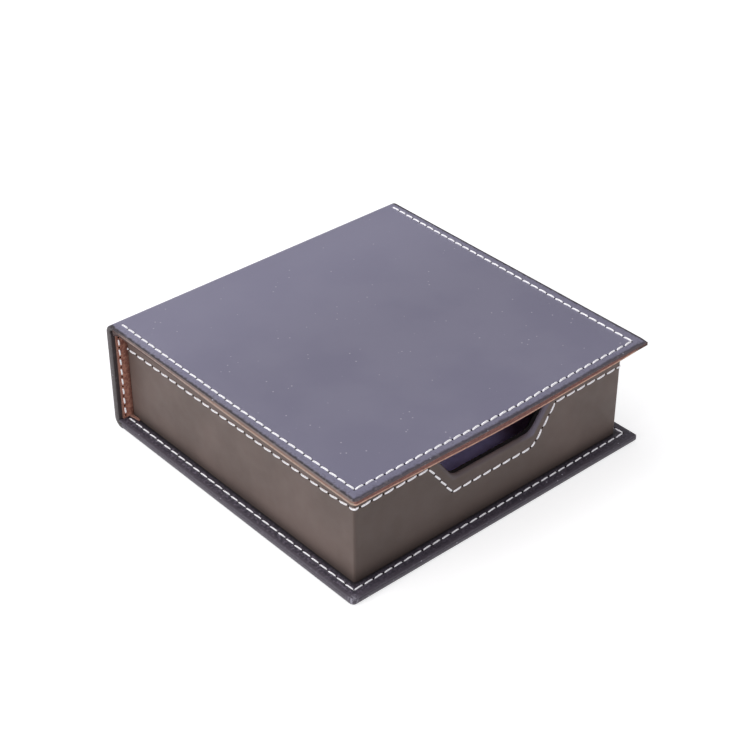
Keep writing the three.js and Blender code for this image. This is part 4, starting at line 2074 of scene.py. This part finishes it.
    def _floor_lining(self) -> None:
        """Places the lining of the floor, with its upright edges rounded."""
        floor = Box.of("tray_floor_lining")
        bm = bmesh.new()
        add_block(bm, floor.low, floor.high)
        upright = [e for e in bm.edges if abs(e.verts[0].co.z - e.verts[1].co.z) > 0.1]
        round_off(bm, upright, self.floor_corner, 5)
        flock = [self.finishes.floor]
        Piece("tray_floor_flock", Body.CASE, Slot.FLOOR, flock, ["tray_floor_lining"]).place(bm)


# ---------------------------------------------------------------------------------------------
# Studio
# ---------------------------------------------------------------------------------------------
@dataclass(frozen=True)
class Lamp:
    """A square soft lamp that points at the box. Its place, size and aim are in metres."""

    name: str
    place: tuple[float, float, float]
    size: float
    power: float
    aim: tuple[float, float, float] = (0, 0, 0.02)

    def hang(self) -> None:
        """Hangs the lamp."""
        data = bpy.data.lights.new(self.name, "AREA")
        data.shape, data.size, data.energy = "SQUARE", self.size, self.power
        lamp = add_object(self.name, data)
        lamp.location = self.place
        aim = Vector(self.aim) - Vector(self.place)
        lamp.rotation_euler = aim.to_track_quat("-Z", "Y").to_euler()


@dataclass(frozen=True)
class Studio:
    """The floor, the light and the camera. Places and the floor's size and drop are in metres."""

    camera_place: tuple[float, float, float] = (-0.289424, -0.327962, 0.322252)
    camera_turn: tuple[float, float, float] = (55.490498, -0.05176, -41.405445)
    camera_clip: tuple[float, float] = (0.01, 50.0)
    lens: float = 84.96
    sensor: float = 36.0
    floor_colour: str = "#D0D0D2"
    floor_size: float = 8.0
    floor_drop: float = 0.00005
    floor_glow: float = 0.6
    world_colour: str = "#FFFFFF"
    world_light: float = 0.34
    lamps: tuple[Lamp, ...] = (
        Lamp("top", (-0.35, 0.75, 1.35), 1.3, 9.8),
        Lamp("left", (-1.35, 0.1, 0.65), 1.0, 11.0),
        Lamp("front", (-0.3, -0.92, 0.75), 0.4, 3.6),
    )

    def build(self) -> None:
        """Sets up the studio."""
        self._camera()
        self._floor()
        self._world()
        for lamp in self.lamps:
            lamp.hang()
        bpy.context.scene.view_settings.view_transform = "Standard"

    def _camera(self) -> None:
        """Places the camera at the photograph's angle."""
        data = bpy.data.cameras.new("camera")
        data.lens, data.sensor_width, data.sensor_fit = self.lens, self.sensor, "HORIZONTAL"
        data.clip_start, data.clip_end = self.camera_clip
        camera = add_object("camera", data)
        camera.location = self.camera_place
        camera.rotation_euler = [math.radians(a) for a in self.camera_turn]
        bpy.context.scene.camera = camera

    def _floor(self) -> None:
        """Lays a pale floor that stays white to the camera and takes the box's shadow."""
        bm = bmesh.new()
        bmesh.ops.create_grid(bm, x_segments=1, y_segments=1, size=self.floor_size / MM / 2)
        bmesh.ops.translate(bm, vec=(0, 0, -self.floor_drop / MM), verts=bm.verts[:])
        floor = new_object(bm, "studio_floor")
        s = Shader("matt white studio floor", self.floor_colour)
        seen = s.add("LightPath").outputs
        rays = s.larger(s.larger(seen["Is Camera Ray"], seen["Is Glossy Ray"]), seen["Is Transmission Ray"])
        paint = s.add("BsdfDiffuse", None, {"Color": s.colour})
        glow = s.add("Emission", None, {"Strength": s.times(rays, self.floor_glow)})
        both = s.add("AddShader", None, {0: paint.outputs[0], 1: glow.outputs[0]})
        s.add("OutputMaterial", None, {"Surface": both.outputs[0]})
        floor.data.materials.append(s.material)

    def _world(self) -> None:
        """Surrounds the box with even light, white to the camera and in reflections."""
        world = bpy.data.worlds.new("studio")
        world.use_nodes = True
        tree = world.node_tree
        tree.nodes.clear()
        seen = add_node(tree, "LightPath").outputs
        inputs = {0: seen["Is Camera Ray"], 1: seen["Is Transmission Ray"]}
        rays = add_node(tree, "Math", {"operation": "MAXIMUM"}, inputs)
        inputs = {"Value": rays.outputs[0], "To Min": self.world_light, "To Max": 1.0}
        strength = add_node(tree, "MapRange", None, inputs).outputs["Result"]
        back = add_node(tree, "Background", None, {"Color": linear(self.world_colour), "Strength": strength})
        add_node(tree, "OutputWorld", None, {"Surface": back.outputs[0]})
        bpy.context.scene.world = world


def dress_boards(finishes: Finishes) -> None:
    """Gives the hidden boards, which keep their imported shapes, their greyboard finish.

    Args:
        finishes: The materials.
    """
    for name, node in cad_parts.items():
        if "board" in name:
            node.data.materials.clear()
            node.data.materials.append(finishes.board)
            log.info("%s: packed shape, greyboard", name)


def main() -> None:
    """Builds the box and its studio."""
    logging.basicConfig(level=logging.INFO, format="%(name)s: %(message)s")
    Studio().build()
    finishes = Finishes()
    dress_boards(finishes)
    for part in (Lid(finishes), Spine(finishes), Base(finishes), Tray(finishes)):
        part.build()


if __name__ == "__main__":
    main()
